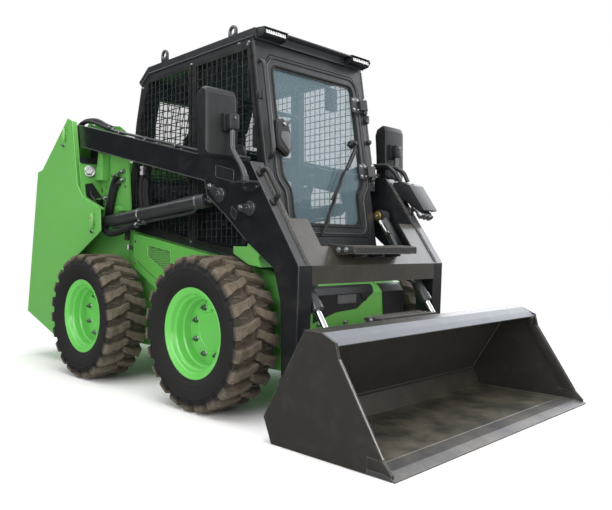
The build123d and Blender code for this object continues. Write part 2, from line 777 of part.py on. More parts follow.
with BuildPart() as door_handle:
    with BuildSketch(door_slice(0)):
        with Locations((-DOOR_HALF + 28, HANDLE_HEIGHT)):
            SlotOverall(190, 34, rotation=90)
    extrude(amount=26)
export(door_handle.part, "door_handle")

# ---------------------------------------------------------------------------------------------------------
# Engine hood and tailgate, between the towers
# ---------------------------------------------------------------------------------------------------------
BAY_HALF = 440
HOOD_SHEET = 10
hood_top = [
    (-602, 1262),
    (-610, 1345),
    (-640, 1362),
    (-1430, 1330),
    (-1510, 1285),
    (-1520, 1240),
]
hood_under = [
    (-1520 + HOOD_SHEET, 1200),
    (-1510 + HOOD_SHEET, 1278),
    (-1428, 1320),
    (-640, 1350),
    (-620, 1340),
    (-612, 1200),
]
with BuildPart() as hood:
    plate(hood_top, -BAY_HALF, BAY_HALF)
    plate(hood_under, -BAY_HALF + HOOD_SHEET, BAY_HALF - HOOD_SHEET, mode=Mode.SUBTRACT)
    for side, hand in SIDES:
        across(HOOD_HINGE, HOOD_PIN_RADIUS, *span(side, BAY_HALF - HOOD_SHEET, inner_face))
export(hood.part, "hood")

gate_half = BAY_HALF - 45
with BuildPart() as tailgate:
    with BuildSketch(tail_plane.offset(-GATE_THICKNESS)):
        with Locations((0, (GATE_BOTTOM + GATE_TOP) / 2)):
            Rectangle(2 * gate_half, GATE_TOP - GATE_BOTTOM)
    extrude(amount=GATE_THICKNESS)
    with BuildSketch(tail_plane.offset(-GATE_THICKNESS)):
        with Locations((0, (GATE_BOTTOM + GATE_TOP) / 2)):
            Rectangle(2 * gate_half - 2 * GATE_SHEET, GATE_TOP - GATE_BOTTOM - 2 * GATE_SHEET)
    extrude(amount=GATE_THICKNESS - GATE_SHEET, mode=Mode.SUBTRACT)
    for height in GATE_HINGES:
        with BuildSketch(up_tail(height)):
            with Locations((0, -GATE_HINGE_Y)):
                Circle(GATE_KNUCKLE_RADIUS)
            with Locations((0, -(gate_half + GATE_HINGE_Y) / 2)):
                Rectangle(2 * GATE_SHEET, GATE_HINGE_Y - gate_half)
        extrude(amount=GATE_KNUCKLE)
        with BuildSketch(up_tail(height)):
            with Locations((0, -GATE_HINGE_Y)):
                Circle(GATE_PIN_RADIUS + PIN_GAP)
        extrude(amount=GATE_KNUCKLE, mode=Mode.SUBTRACT)
export(tailgate.part, "tailgate")

with BuildPart() as tail_lamps:
    for side, hand in SIDES:
        with BuildSketch(tail_plane):
            with Locations((side * 340, LAMP_HEIGHT)):
                Rectangle(90, 130)
        extrude(amount=LENS_THICKNESS)
export(tail_lamps.part, "tail_lamps")


# ---------------------------------------------------------------------------------------------------------
# Lift arm: two box beams with elbow and leg, joined at the front by a crossmember
# ---------------------------------------------------------------------------------------------------------
ARM_INNER = ARM_OUTER - ARM_WIDTH
ARM_Y = ARM_OUTER - ARM_WIDTH / 2
LEG_FRONT = 1027
LEG_REAR = 923
elbow_low = (691, 825)
elbow_foot = (803, 749)
arm_side = [
    (ARM_PIVOT[0], ARM_PIVOT[1] + ARM_END_RADIUS),
    (-1012, 1628),
    (288, 1293),
    ELBOW_TOP,
    ELBOW_CORNER,
    (LEG_FRONT, 430),
    (LEG_FRONT, BUCKET_PIVOT[1]),
    (LEG_REAR + 7, BUCKET_PIVOT[1]),
    (LEG_REAR, 550),
    (880, 700),
    elbow_foot,
    elbow_low,
    (535, 956),
    (391, 1059),
    (374, 1138),
    (-997, 1481),
    (ARM_PIVOT[0], ARM_PIVOT[1] - ARM_END_RADIUS),
]
elbow_slot = [              # open to the rear and below, for the lift rod's eye and its swing
    (330, 900),
    (330, LIFT_EYE[1] + LIFT_EYE_RADIUS + 15),
    (LIFT_EYE[0] + LIFT_EYE_RADIUS + 18, LIFT_EYE[1] + LIFT_EYE_RADIUS + 15),
    (LIFT_EYE[0] + LIFT_EYE_RADIUS + 56, LIFT_EYE[1] + 15),
    (LIFT_EYE[0] + LIFT_EYE_RADIUS + 56, 840),
]
tilt_pin_end = TILT_Y - TILT_EYE_WIDTH / 2 - SIDE_GAP
for side, hand in SIDES:
    with BuildPart() as lift_arm:
        plate(arm_side, *span(side, ARM_INNER, ARM_OUTER))
        across(ARM_PIVOT, ARM_END_RADIUS, *span(side, ARM_INNER, ARM_OUTER))
        across(BUCKET_PIVOT, LEG_END_RADIUS, *span(side, ARM_INNER, ARM_OUTER))
        plate(elbow_slot, *span(side, ARM_INNER + ELBOW_PLATE, ARM_OUTER - ELBOW_PLATE), mode=Mode.SUBTRACT)
        for centre, radius in ((ARM_PIVOT, ARM_PIN_RADIUS), (BUCKET_PIVOT, BUCKET_PIN_RADIUS)):
            across(centre, radius + PIN_GAP, *span(side, ARM_INNER, ARM_OUTER), mode=Mode.SUBTRACT)
        boss(LIFT_EYE, LIFT_PIN_RADIUS + 12, *span(side, ARM_OUTER, ARM_OUTER + 10))
        boss(TILT_TOP, TILT_PIN_RADIUS + 14, *span(side, ARM_OUTER, ARM_OUTER + 10))
        across(TILT_TOP, TILT_PIN_RADIUS, *span(side, tilt_pin_end - 8, ARM_INNER))
        boss(TILT_TOP, TILT_PIN_RADIUS + 12, *span(side, tilt_pin_end - 8, tilt_pin_end))
    export(lift_arm.part, f"lift_arm_{hand}")

CROSS_PLATE = 12
CROSS_FOOT = 626
WING_TOP = 930
WING_Y = 376
SADDLE_Z = 800
front_slope = (ELBOW_CORNER[0] - ELBOW_TOP[0]) / (ELBOW_TOP[1] - ELBOW_CORNER[1])


def arm_front_x(z):
    """x of the arm's sloped front face at a height above the elbow's corner."""
    return ELBOW_CORNER[0] - (z - ELBOW_CORNER[1]) * front_slope


saddle_point = (arm_front_x(SADDLE_Z), SADDLE_Z)
wing_point = (arm_front_x(WING_TOP), WING_TOP)
with BuildPart() as crossmember:
    plate(
        [
            (ELBOW_CORNER[0] - CROSS_PLATE, CROSS_FOOT),
            (ELBOW_CORNER[0], CROSS_FOOT),
            ELBOW_CORNER,
            saddle_point,
            (saddle_point[0] - CROSS_PLATE, SADDLE_Z),
            (ELBOW_CORNER[0] - CROSS_PLATE, ELBOW_CORNER[1] - 4),
        ],
        -ARM_INNER,
        ARM_INNER,
    )
    for side, hand in SIDES:
        plate(
            [
                saddle_point,
                wing_point,
                (wing_point[0] - CROSS_PLATE, WING_TOP),
                (saddle_point[0] - CROSS_PLATE, SADDLE_Z),
            ],
            *span(side, WING_Y, ARM_INNER),
        )
export(crossmember.part, "crossmember")

STEP_Y = (-300, 200)
STEP_DEPTH = 120
with BuildPart() as arm_step:
    plate(
        [
            (arm_front_x(764), 764),
            (arm_front_x(764) + STEP_DEPTH, 764),
            (arm_front_x(764) + STEP_DEPTH, SADDLE_Z - 4),
            (arm_front_x(SADDLE_Z - 4), SADDLE_Z - 4),
        ],
        *STEP_Y,
    )
export(arm_step.part, "arm_step")

MIRROR_FOOT = (752, 1105)
MIRROR_STALK_RADIUS = 11
with BuildPart() as mirrors:
    for side, hand in SIDES:
        block((560, 645), span(side, 605, 800), (1215, 1555))
        with BuildLine() as stalk:
            Polyline(
                (MIRROR_FOOT[0], side * (ARM_OUTER + 70), MIRROR_FOOT[1]),
                (MIRROR_FOOT[0] - 40, side * (ARM_OUTER + 80), 1330),
                (640, side * (ARM_OUTER + 80), 1360),
            )
        with BuildSketch(Plane(origin=stalk.line @ 0, z_dir=stalk.line % 0)):
            Circle(MIRROR_STALK_RADIUS)
        sweep(path=stalk.line, transition=Transition.RIGHT)
        foot = span(side, ARM_OUTER, ARM_OUTER + 70 + MIRROR_STALK_RADIUS)
        boss(MIRROR_FOOT, MIRROR_STALK_RADIUS + 2, *foot)
export(mirrors.part, "mirrors")

# ---------------------------------------------------------------------------------------------------------
# Cylinders: each barrel turns on its base pin, and its rod slides out of the open end
# ---------------------------------------------------------------------------------------------------------
CYLINDERS = (   # (name, base, eye, middle y, width, barrel r, rod r, base pin r, eye r, barrel, rod)
    (
        "lift", LIFT_BASE, LIFT_EYE, ARM_Y, ARM_WIDTH - 2 * ELBOW_PLATE - 8, LIFT_BARREL_RADIUS,
        LIFT_ROD_RADIUS, LIFT_PIN_RADIUS, LIFT_EYE_RADIUS, LIFT_BARREL_LENGTH, LIFT_ROD_LENGTH,
    ),
    (
        "tilt", TILT_TOP, TILT_EYE, TILT_Y, TILT_EYE_WIDTH, TILT_BARREL_RADIUS,
        TILT_ROD_RADIUS, TILT_PIN_RADIUS, TILT_EYE_RADIUS, TILT_BARREL_LENGTH, TILT_ROD_LENGTH,
    ),
)
for name, base, eye, middle, width, barrel_r, rod_r, pin_r, eye_r, barrel_length, rod_length in CYLINDERS:
    length = hypot(eye[0] - base[0], eye[1] - base[1])
    reach = Vector((eye[0] - base[0]) / length, 0, (eye[1] - base[1]) / length)
    for side, hand in SIDES:
        foot = Vector(base[0], side * middle, base[1])
        limits = span(side, middle - width / 2, middle + width / 2)
        with BuildPart() as barrel:
            with BuildSketch(Plane(origin=foot + reach * pin_r, z_dir=reach)):
                Circle(barrel_r)
            extrude(amount=barrel_length - pin_r)
            boss(base, pin_r + 20, *limits)
            across(base, pin_r + PIN_GAP, *span(side, 0, ARM_OUTER + 100), mode=Mode.SUBTRACT)
            with BuildSketch(Plane(origin=foot + reach * (pin_r + 24), z_dir=reach)):
                Circle(rod_r + PIN_GAP)
            extrude(amount=barrel_length, mode=Mode.SUBTRACT)
        export(barrel.part, f"{name}_barrel_{hand}")
        with BuildPart() as rod:
            with BuildSketch(Plane(origin=foot + reach * (length - rod_length), z_dir=reach)):
                Circle(rod_r)
            extrude(amount=rod_length)
            boss(eye, eye_r, *limits)
        export(rod.part, f"{name}_rod_{hand}")

# ---------------------------------------------------------------------------------------------------------
# Quick coupler on the ends of the arm's legs
# ---------------------------------------------------------------------------------------------------------
back_length = hypot(BACK_TOP[0] - BACK_FOOT[0], BACK_TOP[1] - BACK_FOOT[1])
coupler_foot = along(BACK_FOOT, BACK_TOP, 14)
coupler_head = along(BACK_FOOT, BACK_TOP, back_length - 58)
EAR = 14
INNER_EAR = 10


def back_point(distance, behind):
    """Point at a distance up the bucket's back and another behind it."""
    x, z = along(BACK_FOOT, BACK_TOP, distance)
    dx = (BACK_TOP[0] - BACK_FOOT[0]) / back_length
    dz = (BACK_TOP[1] - BACK_FOOT[1]) / back_length
    return (x - dz * behind, z + dx * behind)


pivot_ear = [
    back_point(14, COUPLER_PLATE),
    (BUCKET_PIVOT[0] - 8, BUCKET_PIVOT[1] - 44),
    (BUCKET_PIVOT[0] - 20, BUCKET_PIVOT[1] + 40),
    back_point(260, COUPLER_PLATE),
]
tilt_ear = [
    back_point(200, COUPLER_PLATE),
    (TILT_EYE[0] - 8, TILT_EYE[1] - 33),
    (TILT_EYE[0] - 10, TILT_EYE[1] + 32),
    back_point(390, COUPLER_PLATE),
]
joint_ear = [
    back_point(14, COUPLER_PLATE),
    (BUCKET_PIVOT[0] - 8, BUCKET_PIVOT[1] - 44),
    (BUCKET_PIVOT[0] - 40, BUCKET_PIVOT[1] + 20),
    (TILT_EYE[0] - 32, TILT_EYE[1] + 12),
    (TILT_EYE[0] - 10, TILT_EYE[1] + 33),
    back_point(390, COUPLER_PLATE),
]
with BuildPart() as coupler:
    plate(strip(coupler_foot, coupler_head, -COUPLER_PLATE), -COUPLER_HALF, COUPLER_HALF)
    for side, hand in SIDES:
        outer = span(side, ARM_OUTER + SIDE_GAP, ARM_OUTER + SIDE_GAP + EAR)
        inner = span(side, ARM_INNER - SIDE_GAP - INNER_EAR, ARM_INNER - SIDE_GAP)
        far = span(side, TILT_Y - TILT_BARREL_RADIUS - 3 - EAR, TILT_Y - TILT_BARREL_RADIUS - 3)
        plate(pivot_ear, *outer)
        plate(joint_ear, *inner)
        plate(tilt_ear, *far)
        for limits in (outer, inner):
            boss(BUCKET_PIVOT, 46, *limits)
        for limits in (inner, far):
            boss(TILT_EYE, 34, *limits)
        pin_limits = span(side, ARM_INNER - SIDE_GAP - INNER_EAR, ARM_OUTER + SIDE_GAP + EAR + 6)
        across(BUCKET_PIVOT, BUCKET_PIN_RADIUS, *pin_limits)
export(coupler.part, "coupler")

# ---------------------------------------------------------------------------------------------------------
# Bucket: folded sheet, side plates, bolt-on cutting edge and a step behind its lip
# ---------------------------------------------------------------------------------------------------------
edge_rear = HALF_LENGTH - EDGE_DEPTH
bucket_section = [
    BACK_TOP,
    BACK_FOOT,
    HEEL,
    (edge_rear, 0),
    (edge_rear, BUCKET_SHEET),
    (HEEL[0] + 6, BUCKET_SHEET),
    (BACK_FOOT[0] + BUCKET_SHEET + 2, BACK_FOOT[1] + 2),
    (BACK_TOP[0] + BUCKET_SHEET + 2, BACK_TOP[1] - 4),
    (BACK_TOP[0] + 78, BACK_TOP[1] - 16),
    (BACK_TOP[0] + 82, BACK_TOP[1] - 4),
]
bucket_side = [
    BACK_TOP,
    BACK_FOOT,
    HEEL,
    (edge_rear, 0),
    (edge_rear, 62),
    (1663, 62),
    (1470, 382),
    (1456, 442),
    (1388, 472),
]
with BuildPart() as bucket:
    plate(bucket_section, -BUCKET_HALF, BUCKET_HALF)
    for side, hand in SIDES:
        plate(bucket_side, *span(side, BUCKET_HALF - BUCKET_SIDE, BUCKET_HALF))
export(bucket.part, "bucket")

with BuildPart() as cutting_edge:
    plate(
        [
            (edge_rear, 0),
            (HALF_LENGTH, 0),
            (HALF_LENGTH, 4),
            (HALF_LENGTH - 45, EDGE_THICKNESS),
            (edge_rear, EDGE_THICKNESS),
        ],
        -BUCKET_HALF,
        BUCKET_HALF,
    )
export(cutting_edge.part, "cutting_edge")

BUCKET_STEP_Y = (-310, 120)
with BuildPart() as bucket_step:
    plate(
        [
            back_point(back_length - 26, 0),
            back_point(back_length - 2, 0),
            (BACK_TOP[0] - 100, BACK_TOP[1] + 2),
            (BACK_TOP[0] - 118, BACK_TOP[1] - 22),
        ],
        *BUCKET_STEP_Y,
    )
export(bucket_step.part, "bucket_step")

# ---------------------------------------------------------------------------------------------------------
# Rests under the elbows, which carry the lowered arm
# ---------------------------------------------------------------------------------------------------------
rest_start = along(elbow_low, elbow_foot, 14)
rest_end = along(elbow_low, elbow_foot, 110)
PAD = 24
with BuildPart() as arm_rests:
    for side, hand in SIDES:
        lowered = strip(rest_start, rest_end, SEAT_GAP)
        pad_top = (lowered[3], lowered[2])
        pad = strip(*pad_top, PAD)
        plate(pad, *span(side, ARM_INNER + 6, ARM_OUTER - 8))
        plate(
            [(590, 765), (590, 800), pad[3], pad[2], (788, 700), (700, 712)],
            *span(side, CHASSIS_HALF, ARM_OUTER - 8),
        )
export(arm_rests.part, "arm_rests")
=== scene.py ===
"""Looks of a skid steer loader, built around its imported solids.

Metres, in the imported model's own frame: +X forward, +Y to the machine's left, +Z up, ground at zero.
Each sub-assembly is a class that makes its meshes and dresses them, and each finish is a small class
that writes the shader of one real material. Sides are numbered -1 for the right and +1 for the left.
"""

from __future__ import annotations

import sys

import json
import logging
import math
from collections.abc import Callable, Iterable, Sequence
from dataclasses import dataclass
from enum import Enum
from functools import cached_property
from typing import Any

import bmesh
import bpy
from bpy.types import Material, Mesh, Node, NodeSocket, Object
from mathutils import Matrix, Vector

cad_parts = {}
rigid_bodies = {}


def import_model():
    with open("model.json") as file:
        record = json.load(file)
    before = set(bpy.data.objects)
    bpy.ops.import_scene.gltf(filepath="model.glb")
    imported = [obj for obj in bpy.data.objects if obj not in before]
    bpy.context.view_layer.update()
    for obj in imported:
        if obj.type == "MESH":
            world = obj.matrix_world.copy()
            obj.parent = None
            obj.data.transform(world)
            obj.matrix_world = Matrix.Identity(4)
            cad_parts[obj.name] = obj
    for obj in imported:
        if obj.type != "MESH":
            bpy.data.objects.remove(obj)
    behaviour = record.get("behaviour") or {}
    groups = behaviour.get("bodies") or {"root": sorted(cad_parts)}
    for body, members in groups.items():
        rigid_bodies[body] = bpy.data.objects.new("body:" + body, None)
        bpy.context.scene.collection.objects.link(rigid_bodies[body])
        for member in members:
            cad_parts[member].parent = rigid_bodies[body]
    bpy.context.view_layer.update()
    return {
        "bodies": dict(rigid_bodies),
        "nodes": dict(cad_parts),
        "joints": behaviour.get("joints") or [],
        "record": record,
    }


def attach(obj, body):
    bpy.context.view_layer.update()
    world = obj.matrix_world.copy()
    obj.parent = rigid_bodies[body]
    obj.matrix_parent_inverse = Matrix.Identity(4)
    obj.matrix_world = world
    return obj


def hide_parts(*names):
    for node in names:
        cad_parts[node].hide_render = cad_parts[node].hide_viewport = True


LOG = logging.getLogger("skid_steer")
MM = 0.001
SIDES = {-1: "right", 1: "left"}
UP = Vector((0, 0, 1))
AHEAD = Vector((1, 0, 0))
Point = Sequence[float]
Pair = tuple[float, float]
Outline = Sequence[Pair]
Linear = tuple[float, float, float, float]


# Small geometry helpers
def mm(*values: float) -> Vector:
    """Vector in metres of values in millimetres."""
    return Vector([value * MM for value in values])


def frame_along(direction: Vector) -> Matrix:
    """Rotation whose Z axis points along a direction.

    Args:
        direction: where the Z axis goes.

    Returns:
        The rotation as a 4x4 matrix.
    """
    return direction.normalized().to_track_quat("Z", "Y").to_matrix().to_4x4()


def smooth_path(points: Sequence[Vector], steps: int = 6) -> list[Vector]:
    """Points on a Catmull-Rom curve through given points.

    Args:
        points: where the curve passes.
        steps: points for each span.

    Returns:
        The curve's points, ends included.
    """
    ends = [points[0] * 2 - points[1], *points, points[-1] * 2 - points[-2]]
    found = []
    for a, b, c, d in zip(ends, ends[1:], ends[2:], ends[3:]):
        for step in range(steps):
            t = step / steps
            square, cube = 2 * a - 5 * b + 4 * c - d, 3 * b - 3 * c + d - a
            found.append(0.5 * ((2 * b) + (c - a) * t + square * t * t + cube * t**3))
    return [*found, points[-1].copy()]


def rounded_path(points: Sequence[Vector], radius: float, steps: int = 5) -> list[Vector]:
    """Points of straight runs whose corners are rounded, as in a bent tube.

    Args:
        points: the corners.
        radius: bend radius at each inner corner.
        steps: points for each bend.

    Returns:
        The path's points.
    """
    found = [points[0]]
    for before, corner, after in zip(points, points[1:], points[2:]):
        into, out = (before - corner).normalized(), (after - corner).normalized()
        half = into.angle(out) / 2
        reach = min(radius / math.tan(half), (before - corner).length * 0.49, (after - corner).length * 0.49)
        start, end = corner + into * reach, corner + out * reach
        for step in range(steps + 1):
            t = step / steps
            found.append(start * (1 - t) ** 2 + corner * 2 * t * (1 - t) + end * t * t)
    return [*found, points[-1]]


def rounded_loop(outline: Outline, radius: float) -> list[Vector]:
    """Flat outline with every corner rounded apart from its first, as points in its own plane."""
    return rounded_path([Vector((*point, 0)) for point in (*outline, outline[0])], radius, 4)[1:-1]


def upright(points: Outline, y: float) -> list[Vector]:
    """Points in metres of (x, z) points in millimetres, all at one y."""
    return [mm(x, y, z) for x, z in points]


def hoop(centre: Vector, radius: float, steps: int) -> list[Vector]:
    """Closed round path that stands in the side view, with a radius in metres."""
    turns = [2 * math.pi * k / steps for k in range(steps + 1)]
    return [centre + Vector((math.cos(a), 0, math.sin(a))) * radius for a in turns]


def height_on(start: Outline, x: float) -> float:
    """Height at x of the line through the first and last (x, z) points of an outline."""
    (x0, z0), (x1, z1) = start[0], start[-1]
    return z0 + (z1 - z0) * (x - x0) / (x1 - x0)


# Finishes
def linear(colour: str) -> Linear:
    """Linear colour of an sRGB hex value.

    Args:
        colour: six hex digits after a hash.

    Returns:
        Red, green, blue and an alpha of one.
    """
    parts = [int(colour[i : i + 2], 16) / 255 for i in (1, 3, 5)]
    red, green, blue = (c / 12.92 if c <= 0.04045 else ((c + 0.055) / 1.055) ** 2.4 for c in parts)
    return (red, green, blue, 1.0)


def toned(colour: Linear, factor: float, lift: float = 0.0) -> Linear:
    """Linear colour made darker or paler by a factor and a lift."""
    red, green, blue = (min(1.0, part * factor + lift) for part in colour[:3])
    return (red, green, blue, 1.0)


class Shader:
    """Node tree of one material, or of the world, under construction."""

    def __init__(self, name: str, owners: Any = None) -> None:
        self.owner = (bpy.data.materials if owners is None else owners).new(name)
        self.owner.use_nodes = True
        self.tree = self.owner.node_tree
        self.tree.nodes.clear()

    @cached_property
    def place(self) -> NodeSocket:
        """Position in the piece's own frame, in metres."""
        return self.node("TexCoord").outputs["Object"]

    def node(self, kind: str, settings: dict[str, Any] | None = None, **links: Any) -> Node:
        """Adds one node with its settings and links.

        Args:
            kind: the node's type after "ShaderNode".
            settings: values of the node's own properties.
            links: value, colour or output socket for each input, by its name with _ for a space.

        Returns:
            The new node.
        """
        made = self.tree.nodes.new("ShaderNode" + kind)
        for name, value in (settings or {}).items():
            setattr(made, name, value)
        for name, value in links.items():
            socket = made.inputs[int(name[1:])] if name[1:].isdigit() else made.inputs[name.replace("_", " ")]
            if isinstance(value, NodeSocket):
                self.tree.links.new(value, socket)
            else:
                socket.default_value = value
        return made

    def finish(self, surface: NodeSocket, output: str = "OutputMaterial") -> Any:
        """Links the surface to the output and gives the material or the world."""
        self.node(output, Surface=surface)
        return self.owner

    def patches(
        self, size_mm: float, detail: float = 3.0, roughness: float = 0.5,
        ends: Pair | None = None,
    ) -> NodeSocket:
        """Blotches of nought to one, about a real size across.

        Args:
            size_mm: their size.
            detail: steps of smaller ones.
            roughness: strength of the smaller ones.
            ends: values that are stretched to nought and one, for blotches with a clear edge.

        Returns:
            The blotches' value.
        """
        scale = 1 / (size_mm * MM)
        noise = self.node("TexNoise", Vector=self.place, Scale=scale, Detail=detail, Roughness=roughness)
        if ends is None:
            return noise.outputs["Fac"]
        stretched = self.node("MapRange", Value=noise.outputs["Fac"], From_Min=ends[0], From_Max=ends[1])
        return stretched.outputs["Result"]

    def product(self, first: Any, *others: Any) -> Any:
        """Product of values, each a number or a socket."""
        for other in others:
            first = self.node("Math", {"operation": "MULTIPLY"}, _0=first, _1=other).outputs[0]
        return first

    def lay(self, under: Any, over: Any, *shares: Any) -> NodeSocket:
        """Colour over another, as far as the product of its shares goes."""
        return self.node("Mix", {"data_type": "RGBA"}, _0=self.product(*shares), _6=under, _7=over).outputs[2]

    def uneven(self, least: float, drift: float, size_mm: float, detail: float) -> NodeSocket:
        """Roughness that drifts up from its least value, in patches of a real size."""
        drifting = self.product(self.patches(size_mm, detail), drift)
        return self.node("Math", {"operation": "ADD"}, _0=drifting, _1=least).outputs[0]

    def grain(
        self, size_mm: float, depth_mm: float, strength: float, detail: float = 2.0, roughness: float = 0.5,
    ) -> NodeSocket:
        """Normal of a surface with a grain of a real size and depth."""
        height = self.patches(size_mm, detail, roughness)
        return self.node("Bump", Height=height, Distance=depth_mm * MM, Strength=strength).outputs["Normal"]

    def sharp_edge_band(self, radius_mm: float) -> NodeSocket:
        """One along sharp edges, out to about a radius from them, and nought elsewhere."""
        rounded = self.node("Bevel", {"samples": 4}, Radius=radius_mm * MM).outputs["Normal"]
        flat = self.node("NewGeometry").outputs["Normal"]
        turned = self.node("VectorMath", {"operation": "DOT_PRODUCT"}, _0=rounded, _1=flat).outputs["Value"]
        return self.node("MapRange", Value=turned, From_Min=0.985, From_Max=0.88).outputs["Result"]


@dataclass(frozen=True)
class SprayedPaint:
    """Two-pack enamel sprayed on welded plate: glossy, with a fine orange peel, and a paler colour along
    sharp edges that is partly rubbed paint and partly a painted edge highlight.
    """

    name: str
    colour: str
    edge: str                       # paler colour along sharp edges: partly rubbed paint, partly a painted edge highlight
    dust: str = "#8C8576"
    roughness: float = 0.34
    coat: float = 0.35
    dust_share: float = 0.10
    edge_wear_and_highlight_share: float = 0.55
    shade: float = 0.08             # how far the colour drifts over a panel

    def material(self) -> Material:
        """Builds the shader.

        Returns:
            The finished material.
        """
        sh = Shader(self.name)
        base = linear(self.colour)
        # panels cure a little unevenly over 0.4 m
        colour = sh.lay(base, toned(base, 1 - self.shade), sh.patches(420, 2.0))
        colour = sh.lay(colour, linear(self.dust), sh.patches(90, 6.0, 0.62, (0.48, 0.80)), self.dust_share)
        # sharp edges take the edge colour: partly rubbed paint, partly a painted edge highlight
        colour = sh.lay(colour, linear(self.edge), sh.sharp_edge_band(2.5), self.edge_wear_and_highlight_share)
        made = sh.node(
            "BsdfPrincipled", Base_Color=colour, Roughness=sh.uneven(self.roughness - 0.07, 0.16, 60, 4.0),
            # orange peel is a ripple about 3 mm across and a few hundredths deep
            Normal=sh.grain(3.0, 0.03, 0.5, 1.0),
            IOR=1.5, Coat_Weight=self.coat, Coat_Roughness=0.12,
        )
        return sh.finish(made.outputs[0])


@dataclass(frozen=True)
class ScuffedPaint:
    """Paint on a bucket that has been dug with: brown dust in the floor, and long scratches to steel."""

    name: str
    colour: str
    scuffed: str
    steel: str
    roughness: float = 0.42

    def material(self) -> Material:
        """Builds the shader.

        Returns:
            The finished material.
        """
        sh = Shader(self.name)
        soil, steel = linear(self.scuffed), linear(self.steel)
        facing = sh.node("SeparateXYZ", Vector=sh.node("NewGeometry").outputs["Normal"]).outputs["Z"]
        height = sh.node("SeparateXYZ", Vector=sh.place).outputs["Z"]
        upward = sh.node("MapRange", Value=facing, From_Min=0.2, From_Max=0.9).outputs["Result"]
        low = sh.node("MapRange", Value=height, From_Min=0.09, From_Max=0.03).outputs["Result"]
        trodden = sh.product(upward, low)                       # the floor, where the load slides
        colour = sh.lay(linear(self.colour), soil, trodden, sh.patches(160, 7.0, 0.65, (0.36, 0.66)), 0.62)
        stretched = sh.node("Mapping", Vector=sh.place, Scale=(7.0, 110.0, 60.0)).outputs["Vector"]
        scratch = sh.node("TexNoise", Vector=stretched, Scale=1.0, Detail=8.0, Roughness=0.7).outputs["Fac"]
        scratch = sh.node("MapRange", Value=scratch, From_Min=0.60, From_Max=0.68).outputs["Result"]
        colour = sh.lay(colour, steel, scratch, sh.patches(230, ends=(0.50, 0.62)), trodden, 0.75)
        colour = sh.lay(colour, soil, sh.patches(70, 6.0, 0.6, (0.50, 0.85)), 0.12)
        colour = sh.lay(colour, steel, sh.sharp_edge_band(2.5), 0.5)
        rough = sh.node("Math", {"operation": "ADD"}, _0=sh.product(trodden, 0.18), _1=self.roughness)
        made = sh.node(
            "BsdfPrincipled", Base_Color=colour, Roughness=rough.outputs[0], Normal=sh.grain(5.0, 0.05, 0.6),
            IOR=1.5, Coat_Weight=0.2, Coat_Roughness=0.2,
        )
        return sh.finish(made.outputs[0])


@dataclass(frozen=True)
class Metal:
    """Bare or plated metal: chromed rod, zinc-plated fastener, brass washer or ground steel."""

    name: str
    colour: str
    roughness: float
    grain_mm: float                 # spacing of the grinding or rolling lines
    grain_depth_mm: float = 0.01

    def material(self) -> Material:
        """Builds the shader.

        Returns:
            The finished material.
        """
        sh = Shader(self.name)
        tint = linear(self.colour)
        made = sh.node(
            "BsdfPrincipled", Base_Color=sh.lay(tint, toned(tint, 0.8), sh.patches(12)), Metallic=1.0,
            Roughness=sh.uneven(self.roughness - 0.07, 0.14, 25, 3.0),
            Normal=sh.grain(self.grain_mm, self.grain_depth_mm, 0.4),
        )
        return sh.finish(made.outputs[0])


@dataclass(frozen=True)
class TyreRubber:
    """Carbon-black tread rubber: matt, with dry soil rubbed into the lugs and a cleaner sidewall."""

    name: str = "tread_rubber"
    colour: str = "#121312"
    lug: str = "#443E35"
    soil: str = "#7F7363"
    tread_radius: float = 0.338     # where the dusty part starts
    crown_radius: float = 0.362

    def material(self) -> Material:
        """Builds the shader.

        Returns:
            The finished material.
        """
        sh = Shader(self.name)
        soil = linear(self.soil)
        parts = sh.node("SeparateXYZ", Vector=sh.place).outputs
        flat = sh.node("CombineXYZ", X=parts["X"], Z=parts["Z"]).outputs[0]
        radius = sh.node("VectorMath", {"operation": "LENGTH"}, _0=flat).outputs["Value"]
        rolling = sh.node(
            "MapRange", Value=radius, From_Min=self.tread_radius, From_Max=self.crown_radius,
        ).outputs["Result"]
        colour = sh.lay(linear(self.colour), linear(self.lug), rolling, 0.85)
        colour = sh.lay(colour, soil, rolling, sh.patches(38, 6.0, 0.65, (0.30, 0.62)), 0.55)
        colour = sh.lay(colour, soil, rolling, sh.patches(7, 5.0, 0.7, (0.45, 0.75)), 0.35)
        colour = sh.lay(colour, soil, sh.sharp_edge_band(3.5), rolling, 0.55)
        skin = sh.grain(4.0, 0.5, 0.6, 5.0, 0.6)
        made = sh.node("BsdfPrincipled", Base_Color=colour, Roughness=0.85, Normal=skin, IOR=1.52)
        return sh.finish(made.outputs[0])


@dataclass(frozen=True)
class Moulding:
    """Moulded plastic or rubber with a spark-eroded grain."""

    name: str
    colour: str
    roughness: float = 0.5
    grain_mm: float = 1.6
    grain_depth_mm: float = 0.08
    # painted glow: an emission that brightens the part, though no lamp lights it
    painted_glow: float = 0.0

    def material(self) -> Material:
        """Builds the shader.

        Returns:
            The finished material.
        """
        sh = Shader(self.name)
        base = linear(self.colour)
        made = sh.node(
            "BsdfPrincipled", Roughness=self.roughness, IOR=1.46,
            Emission_Color=base, Emission_Strength=self.painted_glow,
            Base_Color=sh.lay(base, toned(base, 1.25, 0.004), sh.patches(45, 4.0, ends=(0.4, 0.8))),
            Normal=sh.grain(self.grain_mm, self.grain_depth_mm, 0.5),
        )
        return sh.finish(made.outputs[0])


